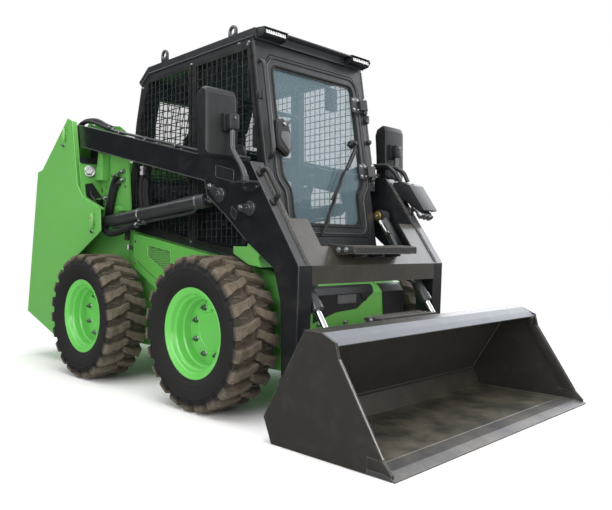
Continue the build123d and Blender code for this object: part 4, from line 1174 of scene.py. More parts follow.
@dataclass
class Towers:
    """Pin retainers, fittings, hoses and rolled edges of the two towers."""

    face: float = 630.0
    inner: float = 466.0
    pins: Outline = ((-1133.0, 1558.0), (-736.0, 960.0))
    front_edge: Outline = (
        (-1082, 1674), (-1016, 1650), (-941, 1213), (-871, 1129), (-640, 1045), (-633, 900), (-1036, 699),
    )

    def build(self) -> None:
        """Makes the pieces of both towers."""
        for side, hand in SIDES.items():
            self._retainers(side, hand)
            self._bay(side, hand)
            self._edge_roll(side, hand)

    def _retainers(self, side: int, hand: str) -> None:
        """Looped flat bar, with a bolt and a red greasing cap, that keeps each pin from turning."""
        kit = Maker(f"tower_retainers_{hand}", "machine", Finish.LIME, "chassis_paint")
        out = Vector((0, side, 0))
        for x, z in self.pins:
            at = lambda dx, dz, dy: mm(x + dx, side * (self.face + dy), z + dz)
            kit.use(Finish.LIME)
            loop = [
                at(20, 52, 1), at(20, 50, 15), at(38, 30, 21), at(34, -24, 21), at(18, -44, 17),
                at(10, -52, 8),
            ]
            kit.tube(smooth_path(loop, 5), 0.0085, 10, 0.45)
            kit.lathe([(0.036, 0), (0.036, 0.004), (0.033, 0.006), (0, 0.006)], at(4, 12, 0), out, 28)
            kit.plate([at(dx, dz, 0) for dx, dz in link((4, -22), (14, -58), 15, 13)], out * 0.008, 0.0015)
            kit.use(Finish.ZINC)
            kit.bolt(at(8, -58, 8), out, 12)
            kit.use(Finish.RED_LENS)
            kit.lathe([(0.007, 0), (0.007, 0.004), (0.004, 0.010), (0, 0.011)], at(-12, 28, 0), out, 14)
        kit.finish_piece()

    def _edge_roll(self, side: int, hand: str) -> None:
        """Rolled edge where the outer plate turns into the tower's front flange."""
        kit = Maker(f"tower_edge_{hand}", "machine", Finish.LIME, "chassis_paint")
        path = rounded_path(upright(self.front_edge, side * (self.face - 3.2)), 0.05)
        kit.tube(path, 0.0042, 10)
        kit.finish_piece()

    def _bay(self, side: int, hand: str) -> None:
        """Pin nut, gusset, elbows, sleeved hoses and stiffener in the open front of the tower."""
        kit = Maker(f"tower_bay_{hand}", "machine", Finish.LIME, "chassis_paint")
        y = side * self.inner
        out = Vector((0, side, 0))
        nut = mm(-916, side * 553, 1306)
        aim = Vector((0.85, side * 0.5, 0.1))
        gusset = ((-858, 1434), (-800, 1419), (-798, 1241), (-946, 1256), (-934, 1312), (-876, 1336))
        kit.plate(upright(gusset, side * 467), out * 0.053, 0.003)
        kit.plate(
            [mm(px, y, pz) for px, pz in (
                (-690, 1058), (-640, 1030), (-585, 1030), (-585, 1040), (-650, 1068),
            )],
            out * 0.033, 0.003,
        )
        kit.use(Finish.ZINC)
        kit.lathe(
            [(0.041, -0.02), (0.041, 0.006), (0.037, 0.009), (0.037, 0.013), (0.028, 0.015)], nut, aim, 28,
        )
        kit.lathe(
            [(0.028, 0.012), (0.028, 0.030), (0.024, 0.035), (0.014, 0.035), (0.012, 0.029), (0, 0.029)], nut,
            aim, 6,
        )
        for x, z, size in (
            (-760, 1272, 12), (-840, 1205, 8), (-858, 1130, 16), (-600, 1190, 8), (-570, 1420, 8),
            (-734, 1232, 10),
        ):
            kit.bolt(mm(x, y, z), out, size)
        kit.lathe(
            [(0.013, 0), (0.013, 0.030), (0.010, 0.034)], mm(-856, y + side * 6, 1124),
            Vector((-1, side * 0.3, -0.1)), 12,
        )
        for z in (1287, 1232):
            path = [
                mm(-618, y + side * 2, z), mm(-624, y + side * 16, z), mm(-650, y + side * 20, z - 12),
                mm(-690, y + side * 20, z - 34),
            ]
            kit.tube(smooth_path(path, 5), 0.0095, 12)
            kit.lathe([(0.016, 0), (0.016, 0.014), (0.012, 0.018)], mm(-617, y, z), out, 6)
            kit.lathe(
                [(0.015, 0), (0.015, 0.022), (0.012, 0.026)], mm(-668, y + side * 20, z - 21),
                Vector((-1, 0, -0.6)), 6,
            )
        kit.use(Finish.HOSE)
        for k, (dx, dy) in enumerate(((0, 19), (38, 19))):
            path = [
                mm(-672 + dx / 3, y + side * dy, 1262 - 50 * k), mm(-716 + dx, y + side * dy, 1222 - 20 * k),
                mm(-752 + dx, y + side * dy, 1150), mm(-786 + dx, y + side * dy, 1060),
                mm(-822 + dx, y + side * (dy - 12), 1000), mm(-880 + dx, y + side * (dy - 18), 955),
            ]
            kit.tube(smooth_path(path, 7), 0.0175, 14)
        path = [
            mm(-905, side * 545, 1180), mm(-880, side * 560, 1150), mm(-846, side * 566, 1128),
            mm(-820, side * 560, 1095), mm(-826, side * 545, 1010),
        ]
        kit.tube(smooth_path(path, 6), 0.011, 12)
        # bundle that runs down beside the cab, and the coupling that it hangs from
        for k, (x, dy) in enumerate(((-410, 10), (-372, 8), (-340, 12))):
            path = [
                mm(x + 8, side * (456 + dy), 1248 - 26 * k), mm(x, side * (460 + dy), 1190),
                mm(x - 6, side * (458 + dy), 1120), mm(x - 2, side * (452 + dy), 1040),
                mm(x + 10, side * (450 + dy), 960),
            ]
            kit.tube(smooth_path(path, 6), 0.0155, 12)
        kit.use(Finish.ZINC)
        top = mm(-402, side * 466, 1246)
        kit.lathe(
            [
                (0.019, 0), (0.019, 0.022), (0.016, 0.025), (0.016, 0.034), (0.021, 0.037), (0.021, 0.052),
                (0.012, 0.056),
            ],
            top, Vector((0.1, 0, 1)), 6,
        )
        kit.tube(
            smooth_path([top + mm(6, 0, 40), top + mm(18, side * 4, 62), top + mm(48, side * 2, 66)], 5),
            0.010, 12,
        )
        kit.use(Finish.BLACK_PLASTIC)
        kit.plate(upright(((-1062, 1482), (-958, 1451), (-938, 1402), (-1062, 1402)), y), out * 0.0012, 0)
        # painted shade of the openings in the plate that closes the bay: dark plates on its face
        for hole in (
            ((618, 1400), (480, 1400), (480, 1360), (600, 1356), (618, 1366)),
            ((592, 1218), (539, 1231), (472, 1134), (548, 1121), (592, 1133)),
        ):
            kit.plate(
                [mm(-935 + (1400 - z) / 5.6 + 0.6, side * across, z) for across, z in hole], mm(0.8, 0, 0), 0,
            )
        kit.lathe(
            [(0.021, 0), (0.023, 0.002), (0.021, 0.004), (0.013, 0.004)], mm(-912, side * 468, 1180), out, 24,
        )
        kit.lathe(
            [(0.03, 0), (0.033, 0.003), (0.03, 0.006), (0.016, 0.006)], mm(-905, side * 468, 1075), out, 24,
        )
        kit.finish_piece()


@dataclass
class Covers:
    """Perforated vents with painted shade behind their holes, creases drawn as painted shade lines, and bolts
    of the side covers, and the fittings and painted shade of the nose.
    """

    face: float = 500.0
    hole: float = 5.3               # radius of a punched hole
    pitch: float = 12.5
    vent: Outline = ((-287, 811), (-50, 775), (-49, 666), (-99, 653), (-287, 745))

    def build(self) -> None:
        """Makes the pieces of both covers and of the nose."""
        for side, hand in SIDES.items():
            self._vent(side, hand)
            self._seams(side, hand)
        self._nose()

    def _inside(self, x: float, z: float, margin: float) -> bool:
        """Whether a point lies in the vent's outline, at least a margin from its edges."""
        turns = []
        for (ax, az), (bx, bz) in zip(self.vent, self.vent[1:] + self.vent[:1]):
            length = math.hypot(bx - ax, bz - az)
            turns.append(((bx - ax) * (z - az) - (bz - az) * (x - ax)) / length)
        return all(turn < -margin for turn in turns)

    def _vent(self, side: int, hand: str) -> None:
        """Dark plate, painted shade of the space behind the cover, with a sheet of punched round holes over
        it.
        """
        kit = Maker(f"cover_vent_{hand}", "machine", Finish.BLACK_PLASTIC, "chassis_paint")
        # painted shade behind the holes
        kit.plate(upright(self.vent, side * (self.face + 0.2)), Vector((0, side * 0.0004, 0)))
        kit.use(Finish.COVER)
        low_y, high_y = side * (self.face + 0.8), side * (self.face + 2.2)
        rows = int(170 / (self.pitch * 0.866))
        for row in range(rows):
            z = 648 + row * self.pitch * 0.866
            for column in range(21):
                x = -293 + (column + 0.5 * (row % 2)) * self.pitch
                if not self._inside(x, z, self.pitch * 0.42):
                    continue
                cell = arc((x, z), self.pitch * 0.5774, 30, 330, 5)
                hole = arc((x, z), self.hole, 30, 330, 5)
                rings = [[mm(px, py, pz) for px, pz in points] for py, points in (
                    (low_y, cell), (high_y, cell), (high_y, hole), (low_y, hole),
                )]
                kit.rings([[ring[k] for ring in rings] for k in range(6)], closed=True, caps=False)
        edge = rounded_path(upright((*self.vent, self.vent[0]), side * (self.face + 1.5)), 0.008, 3)
        kit.tube(edge, 0.0028, 8)
        kit.finish_piece()

    def _seams(self, side: int, hand: str) -> None:
        """Pressed crease drawn as a thin dark line of painted shade, edge strip, bolts, and the hose and lug
        at the sill.
        """
        kit = Maker(f"cover_seams_{hand}", "machine", Finish.BLACK_PLASTIC, "chassis_paint")
        out = Vector((0, side, 0))
        # the crease is a thin dark tube: a painted shade line
        for start, end in (((-443, 731), (-139, 576)), ((-139, 576), (120, 590))):
            kit.tube(
                [
                    mm(start[0], side * (self.face + 0.1), start[1]),
                    mm(end[0], side * (self.face + 0.1), end[1]),
                ],
                0.0014, 6,
            )
        kit.use(Finish.COVER)
        kit.side_plate(
            ((-450, 905), (-438, 905), (-438, 690), (-450, 690)), side * 499 - 1.5, side * 499 + 1.5,
        )
        kit.use(Finish.ZINC)
        for x, z in ((-425, 835), (-425, 705), (-150, 540), (100, 545), (380, 560), (560, 590), (520, 690)):
            kit.bolt(mm(x, side * self.face, z), out, 8)
        # hose that leaves through the sill behind the cover, and a lug for the tie-down chain
        kit.use(Finish.HOSE)
        kit.tube(
            smooth_path([mm(-491, side * 508, 935), mm(-500, side * 512, 880), mm(-508, side * 512, 845)], 5),
            0.017, 14,
        )
        kit.use(Finish.ZINC)
        kit.lathe(
            [(0.012, 0), (0.012, 0.02), (0.009, 0.024)], mm(-486, side * 508, 925), Vector((0.2, 0, -1)), 6,
        )
        kit.lathe([(0.0105, 0), (0.0105, 0.03)], mm(-512, side * 500, 815), Vector((0, 0, -1)), 12)
        kit.bolt(mm(-523, side * 470, 797), out, 14)
        kit.finish_piece()

    def _nose(self) -> None:
        """Grey box in the front opening, and dark plates over the nose that are painted shade of its recess.
        """
        kit = Maker("nose_fittings_and_painted_shade", "machine", Finish.GREY_PLASTIC, "console_plastic")
        kit.box((0.655, -0.20, 0.600), (0.735, 0.055, 0.660), 0.008)
        kit.use(Finish.BLACK_PLASTIC)
        # painted shade of the dark recess in the nose, which the light doesn't reach: its front, its bevel
        # and its top
        kit.plate(
            [mm(905.3, y, z) for y, z in (
                (-340, 560), (-340, 430), (-176, 472), (-11, 481), (110, 548), (130, 560),
            )],
            mm(0.8, 0, 0), 0,
        )
        kit.plate(
            [mm(905.4, -340, 560), mm(875.4, -340, 590.6), mm(875.4, 160, 590.6), mm(905.4, 130, 560)],
            mm(0.6, 0, 0.6), 0,
        )
        kit.plate(
            [mm(875, -340, 591), mm(852, -340, 601), mm(852, 172, 601), mm(875, 160, 591)], mm(0.3, 0, 0.8),
            0,
        )
        # the same painted shade on the recess's other side
        far = 409.5
        kit.plate(
            [mm(905.3, y, z) for y, z in ((206, 560), (far, 560), (far, 300), (250, 300), (226, 420))],
            mm(0.8, 0, 0), 0,
        )
        kit.plate(
            [mm(905.4, 206, 560), mm(875.4, 214, 590.6), mm(875.4, far, 590.6), mm(905.4, far, 560)],
            mm(0.6, 0, 0.6), 0,
        )
        kit.plate(
            [mm(875, 214, 591), mm(852, 220, 601), mm(852, far, 601), mm(875, far, 591)], mm(0.3, 0, 0.8), 0,
        )
        kit.use(Finish.GREY_PLASTIC)
        kit.box((0.9045, -0.168, 0.512), (0.9105, -0.020, 0.556), 0.002)
        kit.use(Finish.HOSE)
        kit.tube(
            smooth_path([mm(908, 20, 552), mm(911, 44, 530), mm(911, 60, 524), mm(908, 76, 545)], 5), 0.0035,
            8,
        )
        kit.use(Finish.BLACK_PLASTIC)
        kit.box((0.650, -0.33, 0.595), (0.680, -0.22, 0.655), 0.006)
        kit.box((0.650, 0.080, 0.600), (0.700, 0.150, 0.655), 0.006)
        kit.use(Finish.LIME)
        kit.side_plate(((700, 592), (868, 592), (848, 618), (760, 640), (700, 668)), 208, 216, 0.001)
        kit.side_plate(((700, 592), (868, 592), (848, 618), (760, 640), (700, 668)), -396, -388, 0.001)
        kit.use(Finish.ZINC)
        for y in (-0.30, -0.1, 0.1, 0.30):
            kit.bolt(Vector((0.9055, y, 0.42)), AHEAD, 10)
        kit.finish_piece()


# Cab
@dataclass
class WireGuard:
    """Crimped square mesh in a plane that may fold, clipped to an outline.

    Its columns run up and its rows across; a crimp lifts each wire over the next one that it meets.
    """

    pitch: float = 50.0
    radius: float = 2.3
    crimp: float = 1.5

    def _spans(self, outline: Outline, value: float, axis: int) -> list[Pair]:
        """Where a straight line at a value on one axis is inside an outline, on the other axis."""
        found = []
        for start, end in zip(outline, [*outline[1:], outline[0]]):
            low, high = start[axis] - value, end[axis] - value
            if (low < 0) != (high < 0):
                found.append(start[1 - axis] + (end[1 - axis] - start[1 - axis]) * low / (low - high))
        found.sort()
        return list(zip(found[::2], found[1::2]))

    def add(
        self, kit: Maker, outline: Outline, place: Callable[[float, float, float], Vector], origin: Point,
    ) -> None:
        """Adds the mesh.

        Args:
            kit: what it is added to.
            outline: corners in the mesh's own plane, in millimetres.
            place: gives the point for two coordinates in the plane and a lift out of it.
            origin: where a row and a column cross.
        """
        for axis in (0, 1):
            low = min(point[axis] for point in outline)
            high = max(point[axis] for point in outline)
            first = math.ceil((low - origin[axis]) / self.pitch)
            for k in range(first, int((high - origin[axis]) // self.pitch) + 1):
                value = origin[axis] + k * self.pitch + 0.01
                for start, end in self._spans(outline, value, axis):
                    steps = max(2, int((end - start) / (self.pitch / 4)))
                    path = []
                    for step in range(steps + 1):
                        other = start + (end - start) * step / steps
                        turn = math.pi * ((other - origin[1 - axis]) / self.pitch + k + axis)
                        lift = self.crimp * math.cos(turn)
                        path.append(place(*((value, other) if axis == 0 else (other, value)), lift))
                    kit.tube(path, self.radius * MM, 6)


@dataclass
class Cab:
    """Guards, visor, lamps, roof trim, pillars' seals and the parts seen through the glass."""

    half: float = 440.0
    top: float = 1880.0
    roof: float = 1917.0
    visor_x: float = 600.0
    side_outline: Outline = (
        (583, 1815), (493, 1200), (508, 1150), (508, 790), (-557, 950), (-457, 1588), (-367, 1815),
    )
    rear_line: Outline = ((-517, 1588), (-453, 1824))

    def build(self) -> None:
        """Makes the pieces of the cab."""
        for side, hand in SIDES.items():
            self._side_guard(side, hand)
            self._pillar_seals(side, hand)
        self._rear_guard()
        self._visor()
        self._lamps()
        self._roof()
        self._liner()

    def _side_guard(self, side: int, hand: str) -> None:
        """Wire mesh over both side windows, with its clips."""
        kit = Maker(f"side_mesh_{hand}", "machine", Finish.MESH, "guard_wire")
        place = lambda x, z, lift: mm(x, side * (self.half + 4.2 + lift), z)
        WireGuard(pitch=42.0, radius=2.7, crimp=1.0).add(kit, self.side_outline, place, (0.0, 1400.0))
        kit.finish_piece(40)
        clips = Maker(f"mesh_clips_{hand}", "machine", Finish.ZINC, "guard_wire")
        out = Vector((0, side, 0))
        for x, z in (
            (-440, 1795), (60, 1838), (540, 1838), (-590, 935), (60, 828), (490, 770), (530, 1370),
            (-500, 1400),
        ):
            clips.bolt(mm(x, side * (self.half + 1), z), out, 8)
        clips.finish_piece()

    def _rear_guard(self) -> None:
        """Wire mesh over the rear window."""
        kit = Maker("rear_mesh", "machine", Finish.MESH, "guard_wire")
        (x0, z0), (x1, z1) = (-632, 919), (-517, 1588)

        def place(y: float, z: float, lift: float) -> Vector:
            if z < z1:
                x = x0 + (x1 - x0) * (z - z0) / (z1 - z0)
            else:
                x = height_on([(p[1], p[0]) for p in self.rear_line], z)
            return mm(x - 7 - lift, y, z)

        outline = ((-345, 1215), (345, 1215), (345, 1765), (-345, 1765))
        WireGuard(pitch=42.0, radius=2.9, crimp=1.0).add(kit, outline, place, (0.0, 1400.0))
        frame = [
            (-345, 1215), (345, 1215), (345, 1590), (345, 1765), (-345, 1765), (-345, 1590), (-345, 1215),
        ]
        kit.tube([place(y, z, 0) for y, z in frame], 0.006, 8)
        kit.finish_piece(40)

    def _pillar_seals(self, side: int, hand: str) -> None:
        """Rubber strip and drip rail along the front pillar, and the roof's side gutter."""
        kit = Maker(f"pillar_trim_{hand}", "machine", Finish.CAB_BLACK, "cab_paint")
        y = side * (self.half - 4)
        kit.tube([mm(728 - (z - 850) * 0.1432 - 6, y, z) for z in (1160, 1400, 1640, 1850)], 0.009, 10)
        kit.tube(
            [
                mm(580, side * (self.half + 1), 1874), mm(-370, side * (self.half + 1), 1874),
                mm(-452, side * (self.half + 1), 1818),
            ],
            0.006, 8,
        )
        kit.use(Finish.ZINC)
        for x, z in ((545, 1850), (470, 1860)):
            kit.bolt(mm(x, side * self.half, z), Vector((0, side, 0)), 8)
        kit.use(Finish.CAB_BLACK)
        kit.box((0.608, y * MM - 0.014, 1.545), (0.640, y * MM + 0.014, 1.585), 0.005)
        kit.finish_piece()

    def _visor(self) -> None:
        """Slotted sun visor between the two lamps: a front rail, a rear rail and slanted slats."""
        kit = Maker("visor", "machine", Finish.CAB_BLACK, "cab_paint")
        x0, x1 = self.visor_x - 4, self.visor_x + 56
        kit.side_plate(((x0, 1912), (x1, 1902), (x1, 1895), (x0, 1904)), 246, 262, 0.002)
        kit.side_plate(((x0, 1912), (x1, 1902), (x1, 1895), (x0, 1904)), -262, -246, 0.002)
        kit.side_plate(((x1 - 10, 1904), (x1, 1902), (x1, 1894), (x1 - 10, 1896)), -262, 262, 0.002)
        kit.side_plate(((x0, 1913), (x0 + 14, 1911), (x0 + 14, 1903), (x0, 1905)), -262, 262, 0.002)
        for k in range(25):
            y = -240 + 20 * k
            outline = [
                mm(x0 + 8, y, 1904), mm(x1 - 6, y + 11, 1895), mm(x1 - 6, y + 17, 1895),
                mm(x0 + 8, y + 6, 1904),
            ]
            kit.plate(outline, mm(0, 0, 7), 0.001)
        # the cheeks on both sides that carry the lamps
        for side in SIDES:
            cheek = ((x0, 1915), (x1 - 6, 1906), (x1 + 4, 1893), (x1 - 14, 1868), (x0, 1862))
            kit.side_plate(cheek, side * 262, side * 268, 0.001)
            kit.side_plate(cheek, side * 428, side * 434, 0.001)
            kit.side_plate(
                ((x0, 1916), (x1 + 2, 1908), (x1 + 6, 1904), (x0, 1908)), side * 262, side * 434, 0.0015,
            )
        kit.finish_piece()

    def _lamps(self) -> None:
        """Light bars: a housing, a lens that glows with painted light, and the black ribs over it."""
        for side, hand in SIDES.items():
            kit = Maker(f"light_bar_{hand}", "machine", Finish.BLACK_PLASTIC, "lamp_lens")
            low, high = sorted((side * 274, side * 424))
            kit.side_plate(
                ((606, 1902), (648, 1900), (652, 1876), (640, 1868), (606, 1870)), low, high, 0.003,
            )
            kit.use(Finish.LENS)
            kit.plate(
                [
                    mm(653, low + 6, 1878), mm(653, high - 6, 1878), mm(650, high - 6, 1897),
                    mm(650, low + 6, 1897),
                ],
                mm(2.5, 0, 0), 0.001,
            )
            kit.use(Finish.BLACK_PLASTIC)
            for k in range(1, 9):
                y = low + (high - low) * k / 9
                kit.box((0.6515, y * MM - 0.0007, 1.878), (0.6565, y * MM + 0.0007, 1.898), 0.0003)
            kit.finish_piece()

    def _roof(self) -> None:
        """Ring eyes, ribbed roof panel, the strip behind the visor, and bolts."""
        kit = Maker("roof_trim", "machine", Finish.CAB_BLACK, "cab_paint")
        kit.box((-0.34, -0.33, 1.9165), (0.53, 0.33, 1.9240), 0.003)
        for y in (-0.24, -0.08, 0.08, 0.24):
            kit.box((-0.30, y - 0.02, 1.9235), (0.49, y + 0.02, 1.9300), 0.003)
        kit.box((0.545, -0.25, 1.9165), (0.585, 0.25, 1.9215), 0.002)
        kit.use(Finish.ZINC)
        for side in SIDES:
            for x in (-330, -60, 210, 480):
                kit.bolt(mm(x, side * 385, 1917), UP, 10)
        kit.use(Finish.STEEL)
        for x, rise in ((-260, 88), (375, 73)):
            for side in SIDES:
                centre = mm(x, side * 400, self.roof + rise - 32)
                kit.tube(hoop(centre, 0.0245, 28), 0.0072, 10)
                kit.lathe([(0.020, 0), (0.020, 0.006), (0.016, 0.010)], mm(x, side * 400, 1917), UP, 24)
        kit.finish_piece()

    def _liner(self) -> None:
        """Headliner with its roof vents, which glow with painted light, and two speakers, and the rear shelf.
        """
        kit = Maker("cab_liner", "machine", Finish.LINER, "cab_paint")
        kit.box((-0.35, -0.385, 1.822), (0.50, 0.385, 1.834), 0.004)
        kit.box((-0.46, -0.38, 1.10), (-0.43, 0.38, 1.20), 0.01)
        kit.use(Finish.LENS)
        for row in range(2):
            for column in range(6):
                x, y = 0.385 + row * 0.075, -0.165 + column * 0.048
                kit.box((x, y, 1.8185), (x + 0.055, y + 0.036, 1.8225), 0.001)
        kit.use(Finish.BLACK_PLASTIC)
        for side in SIDES:
            kit.lathe(
                [(0.055, 0), (0.055, 0.006), (0.045, 0.010), (0, 0.008)], mm(430, side * 300, 1822),
                Vector((0, 0, -1)), 24,
            )
        kit.finish_piece()


# Door and mirrors
DOOR_LEAN = math.radians(8.15)


def on_door(y: float, up: float, out: float = 0.0) -> Vector:
    """Point in metres on the door's face.

    Args:
        y: across the machine, in mm.
        up: up the face from its foot, in mm.
        out: in front of the face, in mm.

    Returns:
        The point.
    """
    sin, cos = math.sin(DOOR_LEAN), math.cos(DOOR_LEAN)
    return mm(727 - up * sin + out * cos, y, 850 + up * cos + out * sin)


@dataclass
class Door:
    """Seals, corner fillets, latch, hinges, wiper, grab tube and the bracket under the lower hinge."""

    half: float = 385.0
    lower_half: float = 330.0
    waist: float = 300.0
    height: float = 955.0
    border: float = 52.0
    glass_corner: float = 60.0
    hinges: Pair = (360.0, 760.0)
    hinge_y: float = 404.0

    def __post_init__(self) -> None:
        self.out = on_door(0, 0, 1000.0) - on_door(0, 0)
        self.up = on_door(0, 1000.0) - on_door(0, 0)

    def build(self) -> None:
        """Makes the pieces."""
        self._surround()
        self._latch()
        self._tube()
        self._hinges()
        self._bracket()
        self._wiper()

    def _opening(self) -> list[Pair]:
        """Corners of the pane's opening in the frame, as (y, up)."""
        b = self.border
        right = [
            (self.lower_half - b, 8 + b), (self.lower_half - b, self.waist - 52),
            (self.half - b, self.waist + 12),
            (self.half - b, self.height - 82), (self.half - 72, self.height - b),
        ]
        return [*right, *[(-y, up) for y, up in reversed(right)]]

    def _surround(self) -> None:
        """Black ceramic band with round corners on the pane, a rubber seal and the frame's raised lip."""
        kit = Maker("door_surround", "door", Finish.BLACK_PLASTIC, "cab_paint")
        points = [Vector((y, up, 0)) for y, up in self._opening()]
        middle = len(points)
        count = 7

        def rounded(inset: float, radius: float) -> list[Vector]:
            """The opening's outline moved inward, with round corners of a radius."""
            moved = []
            for k in range(middle):
                a, b, c = points[k - 1], points[k], points[(k + 1) % middle]
                into, out = (b - a).normalized(), (c - b).normalized()
                left = Vector((-into.y, into.x, 0)) + Vector((-out.y, out.x, 0))
                moved.append(b + left * (inset / (1 + into.dot(out))))
            found = []
            for k in range(middle):
                a, b, c = moved[k - 1], moved[k], moved[(k + 1) % middle]
                into, out = (a - b).normalized(), (c - b).normalized()
                reach = min(radius, (a - b).length * 0.45, (c - b).length * 0.45)
                for step in range(count + 1):
                    t = step / count
                    found.append(
                        (b + into * reach) * (1 - t) ** 2 + b * 2 * t * (1 - t) + (b + out * reach) * t * t
                    )
            return found

        edge, inner = rounded(-1, 12), rounded(16, self.glass_corner)
        rings = []
        for points_at, out in ((edge, -7), (edge, -4), (inner, -4), (inner, -7)):
            rings.append([on_door(p.x, p.y, out) for p in points_at])
        kit.rings([[ring[k] for ring in rings] for k in range(len(edge))], closed=True, caps=False)
        kit.use(Finish.RUBBER)
        seal = rounded(1, 22)
        kit.tube([on_door(p.x, p.y, -2) for p in (*seal, seal[0])], 0.0065, 8)
        kit.use(Finish.CAB_BLACK)
        lip = rounded(-38, 70)
        kit.tube([on_door(p.x, p.y, 1) for p in (*lip, lip[0])], 0.0055, 8, 0.8)
        kit.finish_piece()

    def _latch(self) -> None:
        """D-shaped latch handle: a rounded black body with a grey paddle and a key cylinder."""
        kit = Maker("door_latch", "door", Finish.BLACK_PLASTIC, "console_plastic")
        y0, up0 = -318, 505
        outline = [
            (-42, -100), (18, -92), (44, -62), (50, 30), (38, 84), (10, 104), (-42, 98), (-52, 40),
            (-52, -50),
        ]
        path = rounded_loop(outline, 20)

        def raised(shape: Sequence[Vector], levels: Outline) -> list[list[Vector]]:
            """Rings of a shape on the door, one for each size and lift out of its face."""
            return [[on_door(y0 + p.x * size, up0 + p.y * size, out) for p in shape] for size, out in levels]

        for size, low, high in ((1.0, 0.5, 24), (0.92, 24, 30)):
            kit.rings(raised(path, ((size, low), (size, high), (size * 0.93, high + 4))))
        kit.use(Finish.GREY_PLASTIC)
        paddle = [(-26, -72), (24, -66), (34, -44), (36, 26), (24, 36), (-24, 30), (-32, 0)]
        kit.rings(raised(rounded_loop(paddle, 12), ((1, 33), (1, 36.5), (0.9, 38))))
        kit.use(Finish.ZINC)
        kit.lathe(
            [(0.010, 0), (0.010, 0.006), (0.008, 0.008), (0, 0.008)], on_door(y0 + 4, up0 + 72, 33), self.out,
            20,
        )
        kit.finish_piece()
        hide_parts("door_handle")

    def _tube(self) -> None:
        """Tall grab tube on the pillar to the right of the door, with its feet."""
        kit = Maker("pillar_tube", "machine", Finish.CAB_BLACK, "cab_paint")
        y = -414
        ends = [
            on_door(y, 395, -6), on_door(y, 410, 26), on_door(y, 450, 36), on_door(y, 860, 36),
            on_door(y, 900, 26), on_door(y, 915, -6),
        ]
        kit.tube(rounded_path(ends, 0.03, 5), 0.0125, 14)
        for up in (395, 915):
            kit.lathe([(0.019, 0), (0.019, 0.004), (0.014, 0.008)], on_door(y, up, -5), self.out, 18)
        kit.finish_piece()

    def _hinges(self) -> None:
        """Bolted hinge plates on the door and on the pillar, at both knuckles."""
        door = Maker("hinge_plates_door", "door", Finish.CAB_BLACK, "cab_paint")
        cab = Maker("hinge_plates_cab", "machine", Finish.CAB_BLACK, "cab_paint")
        for up in self.hinges:
            middle = up + 30
            outline = [(300, -44), (352, -50), (378, -34), (378, 34), (352, 50), (300, 44)]
            door.use(Finish.CAB_BLACK)
            door.plate(
                [on_door(y, middle + dz, 0.3) for y, dz in outline], self.out.normalized() * 0.009, 0.002,
            )
            door.use(Finish.ZINC)
            for y in (318, 358):
                for dz in (-28, 28):
                    door.bolt(on_door(y, middle + dz, 9.3), self.out, 8)
            cab.use(Finish.CAB_BLACK)
            cab.plate(
                [on_door(y, middle + dz, -2) for y, dz in ((411, -78), (438, -70), (438, -26), (411, -26))],
                self.out.normalized() * 0.008, 0.002,
            )
            cab.use(Finish.ZINC)
            cab.bolt(on_door(426, middle - 60, 6), self.out, 8)
            cab.lathe(
                [(0.0125, 0), (0.0125, 0.007), (0.009, 0.011), (0, 0.011)],
                on_door(self.hinge_y, up + 62, 24), self.up, 20,
            )
        door.finish_piece()
        cab.finish_piece()
        stay = Maker("gas_strut_stud", "machine", Finish.CAB_BLACK, "cab_paint")
        for up in (700, 575):
            stay.lathe(
                [(0.015, 0), (0.015, 0.02), (0.010, 0.026), (0, 0.026)], on_door(424, up, -4), self.out, 18,
            )
        stay.finish_piece()

    def _bracket(self) -> None:
        """S-shaped plate beside the narrow foot of the door, with its round pressing and rolled edge."""
        kit = Maker("foot_bracket", "machine", Finish.CAB_BLACK, "cab_paint")
        inner = [(352, 262), (352, 200), (340, 150), (340, -10)]
        outer = [(392, -10), (406, 60), (410, 150), (404, 230), (398, 262)]
        outline = [on_door(y, up, -26) for y, up in (*inner, *outer)]
        kit.plate(outline, self.out.normalized() * 0.010, 0.002)
        kit.tube(smooth_path([on_door(y, up, -14) for y, up in reversed(inner)], 5), 0.007, 10)
        pressing = [on_door(
            374 + 18 * math.cos(a), 128 + 42 * math.sin(a), -15,
        ) for a in (2 * math.pi * k / 28 for k in range(29))]
        kit.tube(pressing, 0.004, 8)
        kit.use(Finish.ZINC)
        for y, up in ((380, 236), (370, 20)):
            kit.bolt(on_door(y, up, -16), self.out, 8)
        kit.finish_piece()

